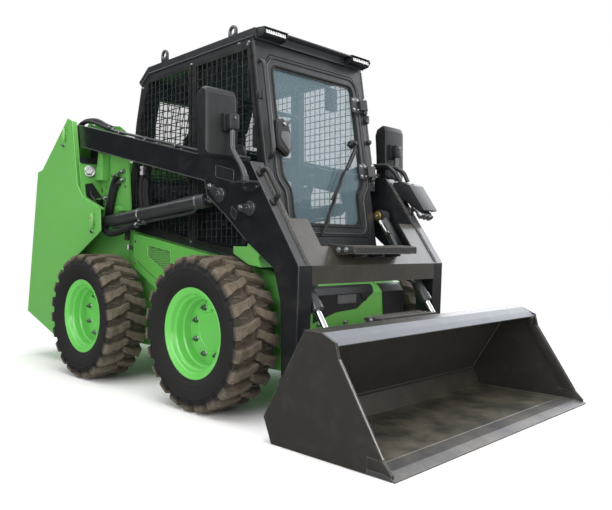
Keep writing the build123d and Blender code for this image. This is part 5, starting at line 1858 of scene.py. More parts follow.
    def _wiper(self) -> None:
        """Wiper: motor cap, sprung arm, linkage and blade with its holders."""
        kit = Maker("wiper", "door", Finish.BLACK_PLASTIC, "cab_paint")
        kit.lathe(
            [(0.024, 0), (0.024, 0.022), (0.018, 0.030), (0, 0.030)], on_door(262, 545, -4), self.out, 22,
        )
        kit.lathe(
            [(0.013, 0.02), (0.013, 0.042), (0.009, 0.046), (0, 0.046)], on_door(262, 545, -4), self.out, 18,
        )
        kit.tube([on_door(300, 552, 6), on_door(262, 545, 12), on_door(222, 535, 10)], 0.010, 10, 0.7)
        tip, root = (16, 205), (256, 528)
        kit.tube(
            [on_door(*root, 38), on_door(180, 428, 36), on_door(90, 302, 28), on_door(*tip, 16)], 0.0075, 8,
            0.6,
        )
        kit.tube([on_door(244, 505, 44), on_door(196, 440, 44), on_door(150, 380, 38)], 0.0105, 8, 0.8)
        way = (Vector((-88, 0, 0)) - Vector((140, 360, 0))).normalized()
        start, end = Vector((150, 372, 0)), Vector((-92, 4, 0))
        kit.use(Finish.RUBBER)
        for out, radius, flat in ((6, 0.0045, 0.5), (11, 0.0065, 0.6)):
            kit.tube(
                [on_door(
                    start.x + (end.x - start.x) * k / 10, start.y + (end.y - start.y) * k / 10, out,
                ) for k in range(11)],
                radius, 8, flat,
            )
        kit.use(Finish.BLACK_PLASTIC)
        side = Vector((-way.y, way.x, 0)) * 10
        for low, high in ((0.05, 0.36), (0.30, 0.70), (0.62, 0.95)):
            ends = [start.lerp(end, low), start.lerp(end, (low + high) / 2), start.lerp(end, high)]
            kit.tube(
                [
                    on_door(ends[0].x, ends[0].y, 12),
                    on_door(ends[1].x + side.x * 0.3, ends[1].y + side.y * 0.3, 24),
                    on_door(ends[2].x, ends[2].y, 12),
                ],
                0.005, 8,
            )
        kit.finish_piece()


@dataclass
class Mirrors:
    """Wedge-topped mirror heads with clamp, bent tube and bracket on the elbows."""

    shell: Outline = (      # (x, z) of the head's side view
        (562, 1245), (562, 1500), (575, 1535), (612, 1553), (634, 1548), (643, 1520), (643, 1232),
        (628, 1217), (580, 1220),
    )
    foot: Pair = (752.0, 1105.0)

    def build(self) -> None:
        """Makes both mirrors in place of their plain solids."""
        for side, hand in SIDES.items():
            kit = Maker(f"mirror_{hand}", "lift_arm", Finish.PLASTIC, "mirror_plastic")
            self._head(kit, side)
            self._arm(kit, side)
            made = kit.finish_piece(32)
            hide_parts("mirrors")

    def _head(self, kit: Maker, side: int) -> None:
        """Shell that narrows toward its front, with the glass at its back."""
        outline = rounded_loop(self.shell, 14)
        middle = sum(outline, Vector()) / len(outline)
        rings = []
        for y, size in ((607, 0.90), (611, 0.965), (620, 1.0), (776, 1.0), (790, 0.965), (797, 0.90)):
            ring = []
            for p in outline:
                grown = middle + (p - middle) * size
                ring.append(mm(grown.x, side * y, grown.y))
            rings.append(ring)
        kit.rings(rings)
        kit.use(Finish.MIRROR)
        kit.box(
            (0.5605, min(side * 0.625, side * 0.782), 1.255),
            (0.5625, max(side * 0.625, side * 0.782), 1.500), 0.0008,
        )
        kit.use(Finish.PLASTIC)

    def _arm(self, kit: Maker, side: int) -> None:
        """Clamp block, bent tube, its collar and the bracket that carries it."""
        kit.use(Finish.BLACK_PLASTIC)
        y = side * 0.667
        kit.box((0.636, y - 0.034, 1.345), (0.664, y + 0.034, 1.432), 0.006)
        kit.use(Finish.PLASTIC)
        kit.box((0.655, y - 0.030, 1.350), (0.700, y + 0.030, 1.426), 0.009)
        kit.use(Finish.STEEL)
        kit.lathe(
            [(0.007, 0), (0.007, 0.004), (0.004, 0.006), (0, 0.006)], mm(700, side * 667, 1404), AHEAD, 6,
        )
        kit.use(Finish.CYLINDER)
        x, z = self.foot
        path = [
            mm(677, side * 667, 1356), mm(677, side * 667, 1262), mm(x - 12, side * 655, z + 60),
            mm(x + 4, side * 648, z + 6),
        ]
        kit.tube(rounded_path(path, 0.06, 8), 0.0135, 16)
        kit.use(Finish.CAB_BLACK)
        kit.lathe(
            [(0.019, -0.012), (0.019, 0.018), (0.0165, 0.024)], mm(x + 2, side * 648, z - 2),
            Vector((-0.15, side * 0.06, 1)), 18,
        )
        low, high = sorted((side * 588, side * 672))
        kit.plate(
            [
                mm(672, low, 1096), mm(786, low, 1096), mm(786, high - (10 if side > 0 else 0), 1096),
                mm(690, high, 1096),
            ],
            mm(0, 0, 9), 0.002,
        )
        kit.side_plate(
            ((668, 1100), (786, 1100), (786, 1078), (746, 1062), (668, 1066)), side * 588.5, side * 594,
            0.001,
        )
        kit.use(Finish.ZINC)
        for bx in (690, 765):
            kit.bolt(mm(bx, side * 594, 1080), Vector((0, side, 0)), 8)
        kit.use(Finish.PLASTIC)


# Lift arm
@dataclass
class Arm:
    """Pin keepers, hose runs, hand rails, grip strips and the auxiliary couplers of the lift arm."""

    outer: float = 588.0
    inner: float = 500.0
    top: Outline = ((-1012, 1628), (288, 1293), (719, 1206))
    slope: Outline = ((719, 1206), (1040, 711))

    def build(self) -> None:
        """Makes the pieces of both arms."""
        for side, hand in SIDES.items():
            self._keepers(side, hand)
            self._side_trim(side, hand)
            self._front_strip(side, hand)
            self._hoses(side, hand)
            self._rail(side, hand)
        self._couplers()
        self._cross_tubes()

    def _keepers(self, side: int, hand: str) -> None:
        """Flat links bolted to the arm that hold the lift and tilt pins, with greased pin ends."""
        kit = Maker(f"pin_keepers_{hand}", "lift_arm", Finish.CYLINDER, "arm_paint")
        out = Vector((0, side, 0))
        for pin, bolt in (((502, 1057), (430, 1104)), ((725, 980), (668, 984))):
            kit.use(Finish.CYLINDER)
            kit.lathe(
                [(0.036, 0), (0.036, 0.010), (0.032, 0.013), (0.026, 0.013), (0.024, 0.010)],
                mm(pin[0], side * self.outer, pin[1]), out, 32,
            )
            points = upright(link(bolt, pin, 15, 27), side * (self.outer + 10.5))
            kit.plate(points, out * 0.008, 0.002)
            kit.lathe(
                [(0.020, 0.018), (0.020, 0.024), (0.016, 0.027), (0.005, 0.027), (0.004, 0.024), (0, 0.024)],
                mm(pin[0], side * self.outer, pin[1]), out, 24,
            )
            kit.use(Finish.ZINC)
            kit.lathe([(0.013, 0), (0.013, 0.0105)], mm(bolt[0], side * self.outer, bolt[1]), out, 16)
            kit.bolt(mm(bolt[0], side * (self.outer + 18.5), bolt[1]), out, 14)
            kit.lathe(
                [(0.0045, 0.024), (0.0045, 0.030), (0.003, 0.034), (0, 0.034)],
                mm(pin[0], side * self.outer, pin[1]), out, 8,
            )
        # the bucket pivot's cap at the foot of the leg
        kit.use(Finish.CYLINDER)
        kit.plate(
            upright(link((980, 250), (980, 180), 14, 40), side * (self.outer - 0.2)), out * 0.004, 0.0015,
        )
        kit.finish_piece()

    def _side_trim(self, side: int, hand: str) -> None:
        """Pressed cover outline on the elbow, the slot below it and the weld along the leg."""
        kit = Maker(f"elbow_trim_{hand}", "lift_arm", Finish.CHARCOAL, "arm_paint")
        y = side * (self.outer + 0.4)
        frame = [(462, 1212), (600, 1174), (600, 1116), (462, 1152)]
        path = rounded_path(upright((*frame, frame[0]), y), 0.012, 4)
        kit.tube(path, 0.0020, 8)
        kit.use(Finish.BLACK_PLASTIC)
        kit.plate(upright(frame, side * (self.outer + 0.1)), Vector((0, side * 0.0006, 0)))
        # the slot is a dark plate: painted shade of its opening
        slot = [(588, 996), (624, 968), (617, 934), (604, 934), (580, 958)]
        kit.plate(upright(slot, side * (self.outer + 0.1)), Vector((0, side * 0.0008, 0)))
        kit.use(Finish.CHARCOAL)
        rim = rounded_path(upright((*slot, slot[0]), y), 0.006, 3)
        kit.tube(rim, 0.0022, 8)
        seam = upright(((719, 1203), (1037, 710), (1025, 430), (1025, 200)), side * (self.outer - 1.2))
        kit.tube(rounded_path(seam, 0.03), 0.0034, 8)
        seam = upright(((-1000, 1626), (288, 1291), (716, 1205)), side * (self.outer - 1.2))
        kit.tube(seam, 0.0034, 8)
        seam = upright(
            ((-980, 1480), (374, 1140), (391, 1061), (535, 958), (691, 827)), side * (self.outer - 1.2),
        )
        kit.tube(seam, 0.0034, 8)
        kit.finish_piece()

    def _sloped(self) -> tuple[Callable[[float, float], Vector], Vector, float]:
        """Sloped front: a function from a distance down it and a y to a point, its normal and its length."""
        (x0, z0), (x1, z1) = self.slope
        length = math.hypot(x1 - x0, z1 - z0)
        dx, dz = (x1 - x0) / length, (z1 - z0) / length
        return lambda along, y: mm(x0 + dx * along, y, z0 + dz * along), Vector((-dz, 0, dx)), length

    def _front_strip(self, side: int, hand: str) -> None:
        """Toothed grip strip along the sloped front face."""
        kit = Maker(f"grip_strip_{hand}", "lift_arm", Finish.STEP, "step_steel")
        slope, normal, length = self._sloped()
        low, high = sorted((side * 512, side * 538))
        base = [slope(24, low), slope(24, high), slope(length - 6, high), slope(length - 6, low)]
        kit.plate(base, normal * 0.003)
        for k in range(int((length - 40) / 13)):
            at = 34 + k * 13
            ends = ((0, low + 3), (7, low + 6), (7, high - 6), (0, high - 3))
            kit.plate([slope(at + a, y) + normal * 0.003 for a, y in ends], normal * 0.004, 0.0006)
        kit.finish_piece()

    def _rail(self, side: int, hand: str) -> None:
        """Hand rail with bolted feet on the sloped front face."""
        kit = Maker(f"hand_rail_{hand}", "lift_arm", Finish.BLACK_PLASTIC, "arm_paint")
        slope, normal, _ = self._sloped()

        def at(distance: float, out: float) -> Vector:
            """Point of the rail from how far down the slope it is and how far off it."""
            return slope(distance, side * 560) + normal * (out * MM)

        start, end = (70, 240)
        kit.tube(
            rounded_path([at(start, 0), at(start + 6, 52), at(end - 6, 52), at(end, 0)], 0.032, 6), 0.012, 14,
        )
        for distance in (start, end):
            kit.lathe(
                [(0.020, 0), (0.020, 0.006), (0.015, 0.012), (0.0125, 0.016)], at(distance, 0), normal, 18,
            )
        kit.finish_piece()

    def _hoses(self, side: int, hand: str) -> None:
        """Sleeved hose bundle over the rear of the arm, its clamps and the steel pipes along the top."""
        kit = Maker(f"arm_hoses_{hand}", "lift_arm", Finish.HOSE, "arm_paint")
        rear = (
            ((-1118, 1622), (-1060, 1660), (-960, 1660), (-860, 1640), (-760, 1598), (-690, 1572)),
            ((-1112, 1618), (-1050, 1650), (-950, 1648), (-850, 1622), (-740, 1582), (-660, 1556)),
        )
        for k, path in enumerate(rear):
            y = side * (520 + 22 * k)
            kit.tube(smooth_path(upright(path, y), 6), 0.0165 if k == 0 else 0.0125, 12)
        kit.use(Finish.CYLINDER)
        for k in range(2):
            y = side * (519 + 22 * k)
            run = [mm(-700, y, 1570), mm(-600, y, 1535), mm(288, y, 1306), mm(640, y, 1234)]
            kit.tube(rounded_path(run, 0.08, 5), 0.008, 10)
        kit.use(Finish.ZINC)
        for x in (-560, -260, 40, 330, 560):
            z = height_on(self.top[:2], x) if x < 288 else height_on(self.top[1:], x)
            kit.box(
                (x * MM - 0.012, min(side * 0.508, side * 0.552), z * MM - 0.001),
                (x * MM + 0.012, max(side * 0.508, side * 0.552), z * MM + 0.020), 0.003,
            )
            kit.bolt(mm(x, side * 530, z + 19), UP, 6, False)
        for x, z in ((-695, 1571), (-655, 1554)):
            kit.lathe([(0.014, -0.012), (0.014, 0.012)], mm(x, side * 530, z), Vector((1, 0, -0.35)), 6)
        kit.finish_piece()

    def _couplers(self) -> None:
        """Cover on the left elbow with the three quick couplers of the auxiliary line below it."""
        kit = Maker("aux_cover", "lift_arm", Finish.BLACK_PLASTIC, "arm_paint")
        profile = (
            (748, 1182), (800, 1186), (862, 1160), (958, 1012), (948, 1006), (860, 1132), (806, 1160),
            (748, 1158),
        )
        kit.side_plate(profile, 536, 668, 0.003)
        cheek = ((748, 1182), (800, 1186), (862, 1160), (958, 1012), (922, 1006), (826, 1078), (748, 1078))
        kit.side_plate(cheek, 532, 538, 0.002)
        kit.side_plate(cheek, 666, 672, 0.002)
        kit.use(Finish.BLACK_PLASTIC)
        kit.side_plate(((752, 1176), (798, 1176), (815, 1150), (815, 1060), (752, 1070)), 545, 660, 0.003)
        for k, y in enumerate((560, 602, 644)):
            kit.use(Finish.ZINC)
            at = mm(866, y, 1056 - 4 * k)
            way = Vector((0.62, 0, -0.78))
            kit.lathe(
                [
                    (0.020, -0.04), (0.020, 0.010), (0.018, 0.013), (0.025, 0.017), (0.025, 0.044),
                    (0.021, 0.048), (0.017, 0.050),
                ],
                at, way, 6,
            )
            kit.lathe(
                [
                    (0.018, 0.046), (0.018, 0.072), (0.0225, 0.075), (0.0225, 0.100), (0.019, 0.104),
                    (0.011, 0.104), (0.010, 0.092), (0, 0.092),
                ],
                at, way, 26,
            )
        kit.use(Finish.ZINC)
        for x, z in ((770, 1188), (838, 1172)):
            kit.bolt(mm(x, 602, z - 2), Vector((0.2, 0, 1)), 8)
        kit.finish_piece()

    def _cross_tubes(self) -> None:
        """Two bent tubes that bring the auxiliary oil over the left elbow."""
        kit = Maker("aux_tubes", "lift_arm", Finish.BLACK_PLASTIC, "arm_paint")
        for k, y in enumerate((560, 600)):
            path = [
                mm(420, y - 30, 1275), mm(520, y - 22, 1302 - 4 * k), mm(690 + 30 * k, y, 1294 - 14 * k),
                mm(740 + 36 * k, y + 4, 1245), mm(790 + 20 * k, y + 6, 1172),
            ]
            kit.tube(rounded_path(path, 0.055, 8), 0.0125, 14)
        kit.use(Finish.ZINC)
        for k, y in enumerate((560, 600)):
            kit.lathe(
                [(0.019, 0), (0.019, 0.022), (0.016, 0.026)], mm(783 + 20 * k, y + 6, 1182),
                Vector((0.4, 0, -1)), 6,
            )
        kit.finish_piece()


@dataclass
class Cylinders:
    """Glands, clamps, pipes and hoses of the lift and tilt cylinders."""

    lift: Outline = ((-736.0, 960.0), (502.0, 1057.0))
    tilt: Outline = ((725.0, 980.0), (1098.0, 388.0))

    def build(self) -> None:
        """Makes the pieces of all four."""
        for side, hand in SIDES.items():
            self._lift(side, hand)
            self._tilt(side, hand)

    def _axis(
        self, ends: Outline, y: float,
    ) -> tuple[Callable[[float, float, float], Vector], Vector]:
        """Function that gives a point from a distance along, up and across a cylinder, and its direction."""
        (x0, z0), (x1, z1) = ends
        way = Vector((x1 - x0, 0, z1 - z0)).normalized()
        up = Vector((-way.z, 0, way.x)) if way.x > 0 else Vector((way.z, 0, -way.x))

        def at(along: float, over: float, across: float = 0.0) -> Vector:
            return mm(x0, y + across, z0) + (way * along + up * over) * MM

        return at, way

    def _lift(self, side: int, hand: str) -> None:
        """Lift cylinder: gland with its lock ring, clamp, pipe and sleeved hose, and the rod's collar."""
        kit = Maker(f"lift_fittings_{hand}", f"lift_barrel_{hand}", Finish.CYLINDER, "cylinder_paint")
        at, way = self._axis(self.lift, side * 544)
        kit.lathe(
            [
                (0.0385, 0), (0.0405, 0.002), (0.0405, 0.058), (0.0385, 0.062), (0.030, 0.064),
                (0.0225, 0.064), (0.0225, 0.06),
            ],
            at(1016, 0), way, 36,
        )
        kit.use(Finish.ZINC)
        kit.lathe([(0.0395, 0), (0.0412, 0.001), (0.0412, 0.014), (0.0395, 0.015)], at(1000, 0), way, 36)
        kit.lathe([(0.0385, 0), (0.0405, 0.001), (0.0405, 0.016), (0.0385, 0.017)], at(430, 0), way, 36)
        kit.use(Finish.CYLINDER)
        pipe = [
            at(120, -46, side * 4), at(200, -50, side * 4), at(470, -50, side * 4), at(700, -50, side * 4),
            at(930, -50, side * 4), at(975, -40, side * 2), at(985, -30, 0),
        ]
        kit.tube(smooth_path(pipe, 4), 0.0095, 12)
        kit.use(Finish.HOSE)
        hose = [
            at(40, -52, side * 20), at(90, -78, side * 22), at(180, -86, side * 18), at(280, -74, side * 14),
            at(390, -60, side * 10),
        ]
        kit.tube(smooth_path(hose, 7), 0.021, 14)
        kit.use(Finish.ZINC)
        kit.lathe([(0.017, 0), (0.017, 0.020), (0.014, 0.024)], at(390, -60, side * 10), way, 6)
        kit.lathe([(0.014, 0), (0.014, 0.022)], at(470, -52, side * 4), way, 6)
        kit.use(Finish.CYLINDER)
        kit.plate(
            [at(425, -64, -14), at(470, -64, -14), at(470, -64, 22), at(425, -64, 22)],
            (at(0, 26) - at(0, 0)), 0.003,
        )
        kit.use(Finish.ZINC)
        kit.bolt(at(447, -40, side * 24), Vector((0, side, 0)), 8)
        kit.finish_piece()
        eye = Maker(f"lift_eye_{hand}", f"lift_rod_{hand}", Finish.CYLINDER, "cylinder_paint")
        eye.lathe([(0.0215, 0), (0.030, 0.004), (0.031, 0.030), (0.028, 0.036)], at(1168, 0), way, 28)
        eye.finish_piece()

    def _tilt(self, side: int, hand: str) -> None:
        """Tilt cylinder: gland, two bent pipes at its side, and the gold washer on its upper pin."""
        kit = Maker(f"tilt_fittings_{hand}", f"tilt_barrel_{hand}", Finish.CYLINDER, "cylinder_paint")
        at, way = self._axis(self.tilt, side * 450)
        kit.lathe(
            [
                (0.0305, 0), (0.0335, 0.002), (0.0335, 0.040), (0.0305, 0.044), (0.022, 0.046),
                (0.0165, 0.046), (0.0165, 0.042),
            ],
            at(520, 0), way, 32,
        )
        kit.use(Finish.ZINC)
        for along in (440, 120):
            inner = [
                at(along, 8, -side * 31), at(along, 12, -side * 52), at(along - 26, 16, -side * 62),
                at(along - 60, 16, -side * 62),
            ]
            kit.tube(smooth_path(inner, 5), 0.0085, 12)
            kit.lathe(
                [(0.014, 0), (0.014, 0.014), (0.011, 0.017)], at(along, 8, -side * 27), Vector((0, -side, 0)),
                6,
            )
            kit.lathe([(0.0125, 0), (0.0125, 0.024), (0.010, 0.028)], at(along - 50, 16, -side * 62), -way, 6)
        kit.finish_piece()
        pin = Maker(f"tilt_pin_washer_{hand}", "lift_arm", Finish.BRASS, "cylinder_paint")
        pin.lathe(
            [(0.029, 0), (0.029, 0.004), (0.025, 0.006), (0.010, 0.006)], at(0, 0, -side * 42),
            Vector((0, -side, 0)), 28,
        )
        pin.use(Finish.ZINC)
        pin.lathe(
            [(0.010, 0.004), (0.010, 0.012), (0.0085, 0.014), (0, 0.014)], at(0, 0, -side * 42),
            Vector((0, -side, 0)), 6,
        )
        pin.finish_piece()


# Steps and bucket
@dataclass
class Steps:
    """Saw-tooth treads with bolted cheeks, on the crossmember and behind the bucket's lip."""

    def build(self) -> None:
        """Makes both steps."""
        self._tread("crossmember_step", "lift_arm", (-300.0, 200.0), (1004.0, 1118.0), 796.0)
        self._tread("lip_step", "bucket", (-310.0, 120.0), (1192.0, 1284.0), 478.0)
        self._arm_brackets()

    def _tread(
        self, name: str, body: str, y_span: Pair, x_span: Pair, z: float,
    ) -> None:
        """One tread: a folded channel with rows of teeth standing on it.

        Args:
            name: the piece's name.
            body: what it rides on.
            y_span: its ends.
            x_span: its rear and front edges.
            z: height of its upper face.
        """
        kit = Maker(name, body, Finish.STEP, "step_steel")
        (y0, y1), (x0, x1) = y_span, x_span
        columns = int((y1 - y0) / 17)
        for row, x in enumerate((x0 + 8, (x0 + x1) / 2, x1 - 10)):
            for k in range(columns):
                y = y0 + 8 + k * 17 + (8.5 if row % 2 else 0)
                if y + 8 > y1:
                    continue
                profile = [
                    mm(x, y, z), mm(x, y + 2, z + 7), mm(x, y + 4, z + 9), mm(x, y + 6, z + 7),
                    mm(x, y + 8, z),
                ]
                kit.plate(profile, mm(5, 0, 0))
        kit.box((x0 * MM, y0 * MM, z * MM - 0.003), (x1 * MM, y1 * MM, z * MM + 0.0015), 0.001)
        front = ((x1 - 3, z + 5), (x1 + 3, z + 5), (x1 + 3, z - 26), (x1 - 3, z - 26))
        kit.side_plate(front, y0, y1, 0.001)
        kit.finish_piece()

    def _arm_brackets(self) -> None:
        """Cheek plates and bolts of both steps, and the ribs under the crossmember's."""
        kit = Maker("step_cheeks", "lift_arm", Finish.STEP, "step_steel")
        for y in (-306, 200):
            kit.side_plate(
                ((960, 806), (985, 812), (1122, 800), (1122, 772), (1080, 762), (1004, 762)), y, y + 6, 0.001,
            )
            kit.use(Finish.ZINC)
            for x in (1030, 1075):
                kit.bolt(mm(x, y if y < 0 else y + 6, 784), Vector((0, -1 if y < 0 else 1, 0)), 10)
            kit.use(Finish.STEP)
        for y in (-190, -50, 90):
            kit.side_plate(((1004, 764), (1100, 764), (1100, 752), (1010, 742)), y, y + 6, 0.001)
        kit.finish_piece()
        lip = Maker("lip_step_cheeks", "bucket", Finish.STEP, "step_steel")
        for y in (-314, 116):
            lip.side_plate(((1182, 466), (1188, 480), (1290, 480), (1290, 462), (1240, 444)), y, y + 6, 0.001)
            lip.use(Finish.ZINC)
            lip.bolt(mm(1222, y if y < 0 else y + 6, 468), Vector((0, -1 if y < 0 else 1, 0)), 8)
            lip.use(Finish.STEP)
        lip.finish_piece()


@dataclass
class BucketTrim:
    """Edge bands, welds, gussets and lip of the bucket, and the holes near the tops of its sides."""

    half: float = 837.0
    sheet: float = 12.0

    def build(self) -> None:
        """Makes the pieces."""
        for side, hand in SIDES.items():
            self._side(side, hand)
            self._ear(side, hand)
        self._lip()

    def _side(self, side: int, hand: str) -> None:
        """Band along the side plate's front edge, the corner block and the welds."""
        kit = Maker(f"bucket_side_trim_{hand}", "bucket", Finish.BUCKET, "bucket_paint")
        inside = side * (self.half - self.sheet)
        kit.side_plate([(1659, 62), (1468, 380), (1426, 372), (1609, 62)], inside, inside - side * 8, 0.001)
        kit.side_plate(
            ((1572, 61), (1663, 60), (1700, 20), (1700, 5), (1572, 5)), side * (self.half - 0.2),
            side * (self.half - 14), 0.002,
        )
        # gusset between the lip and the side
        kit.side_plate(
            ((1386, 462), (1424, 444), (1448, 424), (1440, 380), (1404, 420)), side * (self.half - 12),
            side * (self.half - 18), 0.002,
        )
        # welds where the floor and the back meet the side
        weld = [(1590, 12), (1300, 12), (1130, 12), (1092, 106), (1318, 468)]
        kit.tube(rounded_path(upright(weld, inside), 0.03), 0.0045, 8)
        kit.use(Finish.STEEL)
        edge = upright(((1661, 64), (1469, 382)), side * (self.half - 6))
        kit.tube(edge, 0.0030, 6)
        kit.use(Finish.ZINC)
        kit.lathe(
            [(0.0095, 0), (0.0095, 0.0002), (0.0080, 0.0005), (0, 0.0005)],
            mm(1438, side * (self.half - 0.7), 424), Vector((0, side, 0)), 18,
        )
        kit.bolt(mm(1438, side * (self.half - 12), 424), Vector((0, -side, 0)), 12)
        kit.finish_piece()

    def _ear(self, side: int, hand: str) -> None:
        """Round hole near the top of the side, drawn as a dark disc of painted shade, with its rim."""
        kit = Maker(f"bucket_ear_{hand}", "bucket", Finish.BUCKET, "bucket_paint")
        y = side * (self.half + 0.2)
        # a dark disc stands for the hole: painted shade
        kit.use(Finish.BLACK_PLASTIC)
        kit.lathe(
            [(0.011, 0), (0.011, 0.0006), (0, 0.0006)], mm(1352, y - side * 0.9, 446), Vector((0, side, 0)),
            20,
        )
        kit.use(Finish.BUCKET)
        kit.tube(hoop(mm(1352, y - side * 1.9, 446), 0.0125, 24), 0.0016, 6)
        kit.finish_piece()

    def _lip(self) -> None:
        """Folded edge of the lip, in a paler grey as a painted highlight, its stiffener and the seam where
        the cutting edge is welded on.
        """
        kit = Maker("bucket_lip", "bucket", Finish.BUCKET, "bucket_paint").use(Finish.LIP)
        fold = ((1384, 471.5), (1388, 471.5), (1430, 452), (1456, 431), (1452, 426), (1427, 446), (1386, 464))
        kit.side_plate(fold, -self.half + 12, self.half - 12, 0.002)
        kit.use(Finish.BUCKET)
        kit.side_plate(
            ((1300, 474), (1386, 470), (1390, 464), (1386, 452), (1378, 452), (1376, 460), (1302, 466)),
            -self.half + 10, self.half - 10, 0.002,
        )
        kit.tube([mm(1597, -self.half + 14, 17), mm(1597, self.half - 14, 17)], 0.0035, 6)
        kit.side_plate(
            ((1122, 11), (1142, 11), (1104, 96), (1092, 104), (1090, 100)), -self.half + 14, self.half - 14,
            0.001,
        )
        kit.finish_piece()


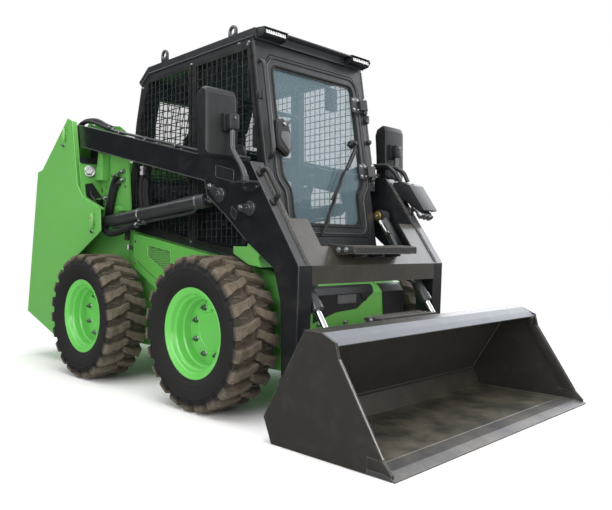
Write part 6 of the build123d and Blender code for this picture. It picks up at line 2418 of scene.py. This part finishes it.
# Seat, controls and rear
@dataclass
class Seat:
    """Suspension seat with simulated foam cushions, headrest, arm pads, joysticks and lap bar."""

    cushion_low: Point = (-0.175, -0.215, 0.945)
    cushion_high: Point = (0.150, 0.215, 1.035)
    foam_grid_mm: float = 14.0
    pressure: float = 4.0
    frames: int = 20
    swell_mm: float = 22.0

    def build(self) -> None:
        """Makes the pieces in place of the plain seat."""
        base = self._cushion()
        back = self._back()
        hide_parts("seat")
        self._shell()
        self._controls()

    def _inflate(self, name: str, low: Point, high: Point, corner: float, turn: Matrix) -> Object:
        """Foam pad: a closed block remeshed to an even grid, then blown up as cloth.

        Args:
            name: the piece's name.
            low: lowest corner before it is blown up.
            high: highest corner.
            corner: radius of its upright edges.
            turn: where it goes.

        Returns:
            The pad.
        """
        kit = Maker(name, "machine", Finish.VINYL, "seat_vinyl")
        size = (high[0] - low[0], high[1] - low[1])
        middle = Vector(((high[0] + low[0]) / 2, (high[1] + low[1]) / 2, 0))
        rings = []
        for height, inset in (
            (low[2], 0.010), (low[2] + 0.008, 0.0), (high[2] - 0.014, 0.0), (high[2], 0.016),
        ):
            place = turn @ Matrix.Translation(middle + Vector((0, 0, height)))
            rings.append(ring_of((size[0] - 2 * inset, size[1] - 2 * inset), place, corner))
        kit.rings(rings)
        pad = kit.finish_piece()
        remesh = pad.modifiers.new("grid", "REMESH")
        remesh.mode, remesh.voxel_size = "VOXEL", self.foam_grid_mm * MM
        apply_modifiers(pad)
        start = [vert.co.copy() for vert in pad.data.vertices]
        cloth = pad.modifiers.new("cloth", "CLOTH")
        cloth.settings.use_pressure = True
        cloth.settings.uniform_pressure_force = self.pressure
        cloth.settings.effector_weights.gravity = 0
        cloth.settings.mass = 0.4
        cloth.settings.tension_stiffness = cloth.settings.compression_stiffness = 30
        for frame in range(1, self.frames + 1):
            bpy.context.scene.frame_set(frame)
        graph = bpy.context.evaluated_depsgraph_get()
        blown = [vert.co.copy() for vert in pad.evaluated_get(graph).data.vertices]
        pad.modifiers.clear()
        bpy.context.scene.frame_set(1)
        limit = self.swell_mm * MM
        for vert, before, after in zip(pad.data.vertices, start, blown):
            moved = after - before
            if moved.length > limit:
                moved = moved.normalized() * limit
            vert.co = before + moved
        subdivide = pad.modifiers.new("smooth", "SUBSURF")
        subdivide.levels = subdivide.render_levels = 1
        apply_modifiers(pad)
        pad.data.materials.clear()
        pad.data.materials.append(Finish.VINYL.material())
        for face in pad.data.polygons:
            face.use_smooth = True
        return pad

    def _cushion(self) -> Object:
        """Seat cushion."""
        return self._inflate("seat_cushion", self.cushion_low, self.cushion_high, 0.06, Matrix.Identity(4))

    def _back(self) -> Object:
        """Backrest, leaning rearward."""
        lean = Matrix.Translation((-0.225, 0, 1.03)) @ Matrix.Rotation(math.radians(-79), 4, "Y")
        return self._inflate("seat_back", (0.02, -0.205, -0.005), (0.46, 0.205, 0.075), 0.07, lean)

    def _shell(self) -> None:
        """Pan, suspension box, hinges and headrest with its two rods."""
        kit = Maker("seat_shell", "machine", Finish.BLACK_PLASTIC, "console_plastic")
        kit.side_plate(
            ((-300, 905), (-66, 865), (-62, 928), (130, 932), (140, 950), (-250, 950)), -200, 200, 0.008,
        )
        kit.side_plate(((-266, 990), (-246, 994), (-345, 1500), (-363, 1496)), -190, 190, 0.006)
        for side in SIDES:
            kit.lathe(
                [(0.045, 0), (0.045, 0.012), (0.03, 0.018), (0, 0.018)], mm(-215, side * 214, 1000),
                Vector((0, side, 0)), 24,
            )
            kit.tube([mm(-330, side * 70, 1470), mm(-352, side * 70, 1600)], 0.007, 10)
        kit.use(Finish.VINYL)
        rings = []
        lean = Matrix.Translation((-0.345, 0, 1.640)) @ Matrix.Rotation(math.radians(80), 4, "Y")
        for offset, size in (
            (-0.040, 0.82), (-0.032, 0.96), (-0.010, 1.0), (0.012, 1.0), (0.032, 0.95), (0.040, 0.80),
        ):
            turn = lean @ Matrix.Translation((0, 0, offset))
            rings.append(ring_of((0.17 * size, 0.26 * size), turn, 0.045 * size, 6))
        kit.rings(rings)
        kit.finish_piece(50)

    def _controls(self) -> None:
        """Joysticks with boots, arm pads, switches, display and the raised lap bar."""
        kit = Maker("cab_controls", "machine", Finish.BLACK_PLASTIC, "console_plastic")
        for side in SIDES:
            y = side * 0.362
            for k in range(5):
                kit.lathe(
                    [(0.030 - 0.004 * k, 0), (0.027 - 0.004 * k, 0.007), (0.024 - 0.004 * k, 0.007)],
                    Vector((0.227, y, 1.048 + 0.007 * k)), UP, 20,
                )
            stick = [Vector((0.227, y, 1.07)), Vector((0.235, y, 1.13)), Vector((0.243, y, 1.16))]
            kit.tube(stick, 0.008, 12)
            rings = []
            for height, wide in (
                (1.140, 0.014), (1.155, 0.021), (1.185, 0.019), (1.210, 0.021), (1.235, 0.024),
                (1.250, 0.019), (1.256, 0.010),
            ):
                place = Matrix.Translation((0.236 + (height - 1.14) * 0.15, y, height))
                rings.append(ring_of((wide * 2.2, wide * 1.8), place, wide * 0.8, 5))
            kit.rings(rings)
            kit.box((-0.20, y - 0.035, 1.105), (0.10, y + 0.035, 1.135), 0.012)
            kit.tube([Vector((-0.10, y, 1.05)), Vector((-0.10, y, 1.11))], 0.014, 10)
            for k in range(4):
                kit.box((0.10 + 0.035 * k, y - 0.02, 1.045), (0.125 + 0.035 * k, y + 0.006, 1.060), 0.003)
        kit.use(Finish.GREY_PLASTIC)
        kit.box((0.50, -0.375, 1.32), (0.53, -0.30, 1.44), 0.008)
        kit.use(Finish.BLACK_PLASTIC)
        bar = [
            Vector((-0.20, -0.34, 1.34)), Vector((0.02, -0.34, 1.60)), Vector((0.20, -0.30, 1.62)),
            Vector((0.20, 0.30, 1.62)), Vector((0.02, 0.34, 1.60)), Vector((-0.20, 0.34, 1.34)),
        ]
        kit.tube(rounded_path(bar, 0.07, 6), 0.013, 12)
        kit.box((0.44, 0.27, 1.62), (0.47, 0.36, 1.76), 0.01)
        # pedals, seen through the door
        kit.use(Finish.RUBBER)
        for side in SIDES:
            kit.side_plate(((560, 800), (600, 860), (606, 858), (568, 796)), side * 120, side * 230, 0.002)
        kit.finish_piece()


@dataclass
class Rear:
    """Louvres, latch, grille and trim of the hood and tailgate, and the tail lamps' lenses."""

    tail_foot: Pair = (-1713.0, 325.0)
    tail_head: Pair = (-1547.0, 1350.0)

    def __post_init__(self) -> None:
        foot, head = (Vector((x, 0, z)) for x, z in (self.tail_foot, self.tail_head))
        self.foot = foot * MM
        self.up = (head - foot).normalized()
        self.out = Vector((-self.up.z, 0, self.up.x))

    def _at(self, y: float, up: float, out: float) -> Vector:
        """Point on the tail's plane from its y, height up the plane and distance behind it, in mm."""
        return self.foot + Vector((0, y * MM, 0)) + (self.up * up + self.out * out) * MM

    def build(self) -> None:
        """Makes the pieces."""
        self._gate()
        self._hood()
        self._lamps()

    def _panel(
        self, kit: Maker, y_span: Pair, up_span: Pair, low: float, high: float,
        bevel: float = 0.001,
    ) -> None:
        """Plate on the tail's plane between two depths."""
        corners = [self._at(y, up, low) for y, up in (
            (y_span[0], up_span[0]), (y_span[1], up_span[0]), (y_span[1], up_span[1]),
            (y_span[0], up_span[1]),
        )]
        kit.plate(corners, self.out * ((high - low) * MM), bevel)

    def _gate(self) -> None:
        """Dark cooling grille with slats and a rim, the latch, and the bolts in the corners."""
        kit = Maker("gate_grille", "tailgate", Finish.BLACK_PLASTIC, "chassis_paint")
        self._panel(kit, (-270, 270), (330, 700), 0.2, 0.8, 0)
        kit.use(Finish.COVER)
        for k in range(15):
            up = 345 + k * 24
            corners = [
                self._at(-264, up, 0.8), self._at(264, up, 0.8), self._at(264, up + 12, 0.8),
                self._at(-264, up + 12, 0.8),
            ]
            kit.plate(corners, self.out * 0.004 + self.up * 0.004, 0.0008)
        for y in (-272, 264):
            self._panel(kit, (y, y + 8), (324, 706), 0.2, 7)
        for up in (322, 700):
            self._panel(kit, (-272, 272), (up, up + 8), 0.2, 7)
        kit.finish_piece()
        latch = Maker("gate_latch", "tailgate", Finish.BLACK_PLASTIC, "console_plastic")
        self._panel(latch, (-372, -300), (480, 560), 0.2, 9, 0.003)
        latch.use(Finish.GREY_PLASTIC)
        self._panel(latch, (-360, -312), (498, 542), 9, 12, 0.002)
        latch.use(Finish.ZINC)
        for y, up in ((-380, 70), (-380, 860), (380, 70), (380, 860)):
            latch.bolt(self._at(y, up, 0.2), self.out, 8)
        latch.finish_piece()

    def _hood(self) -> None:
        """Louvres over the engine, the filler cap and the exhaust's outlet."""
        kit = Maker("hood_louvres", "hood", Finish.COVER, "chassis_paint")
        slope = (1330 - 1362) / (-1430 + 640)

        def top(x: float) -> float:
            return 1362 + slope * (x + 640)

        for side in SIDES:
            for k in range(9):
                x = -1290 + k * 38
                low, high = sorted((side * 70, side * 330))
                kit.side_plate(
                    ((x, top(x)), (x + 26, top(x) + 1), (x + 22, top(x) + 9), (x + 4, top(x) + 3)), low, high,
                    0.0015,
                )
        kit.use(Finish.BLACK_PLASTIC)
        kit.lathe([(0.045, 0), (0.045, 0.018), (0.040, 0.024), (0, 0.024)], mm(-790, 250, top(-790)), UP, 28)
        for k in range(12):
            a = 2 * math.pi * k / 12
            kit.lathe(
                [(0.005, 0), (0.005, 0.018), (0, 0.02)],
                mm(-790 + 45 * math.cos(a), 250 + 45 * math.sin(a), top(-790)), UP, 8,
            )
        kit.use(Finish.STEEL)
        kit.lathe(
            [(0.034, 0), (0.034, 0.045), (0.030, 0.045), (0.030, 0.01), (0, 0.01)], mm(-880, -260, top(-880)),
            Vector((-0.25, 0, 1)), 28,
        )
        kit.finish_piece()

    def _lamps(self) -> None:
        """Tail lamps: a black bezel around a ribbed red lens."""
        for side, hand in SIDES.items():
            kit = Maker(f"tail_lens_{hand}", "tailgate", Finish.BLACK_PLASTIC, "tail_lens")
            y0, y1 = sorted((side * 340 - 49, side * 340 + 49))
            for up0, up1 in ((720, 728), (852, 860)):
                self._panel(kit, (y0, y1), (up0, up1), 0.2, 10, 0.001)
            for a in (y0, y1 - 6):
                self._panel(kit, (a, a + 6), (722, 858), 0.2, 10, 0.001)
            kit.use(Finish.RED_LENS)
            for k in range(7):
                self._panel(kit, (y0 + 8, y1 - 8), (732 + 17 * k, 745 + 17 * k), 6, 8.5, 0.001)
            kit.finish_piece()


ASSEMBLIES: tuple[type, ...] = (
    Wheels, Towers, Covers, Cab, Door, Mirrors, Arm, Cylinders, Steps, BucketTrim, Seat, Rear,
)


def main() -> None:
    """Builds the studio, dresses the solids and adds each sub-assembly's pieces."""
    logging.basicConfig(level=logging.INFO, format="%(message)s", stream=sys.stdout)
    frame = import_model()
    Studio().build()
    Dresser().build(frame["nodes"])
    for assembly in ASSEMBLIES:
        LOG.info("building %s", assembly.__name__)
        assembly().build()


if __name__ == "__main__":
    main()
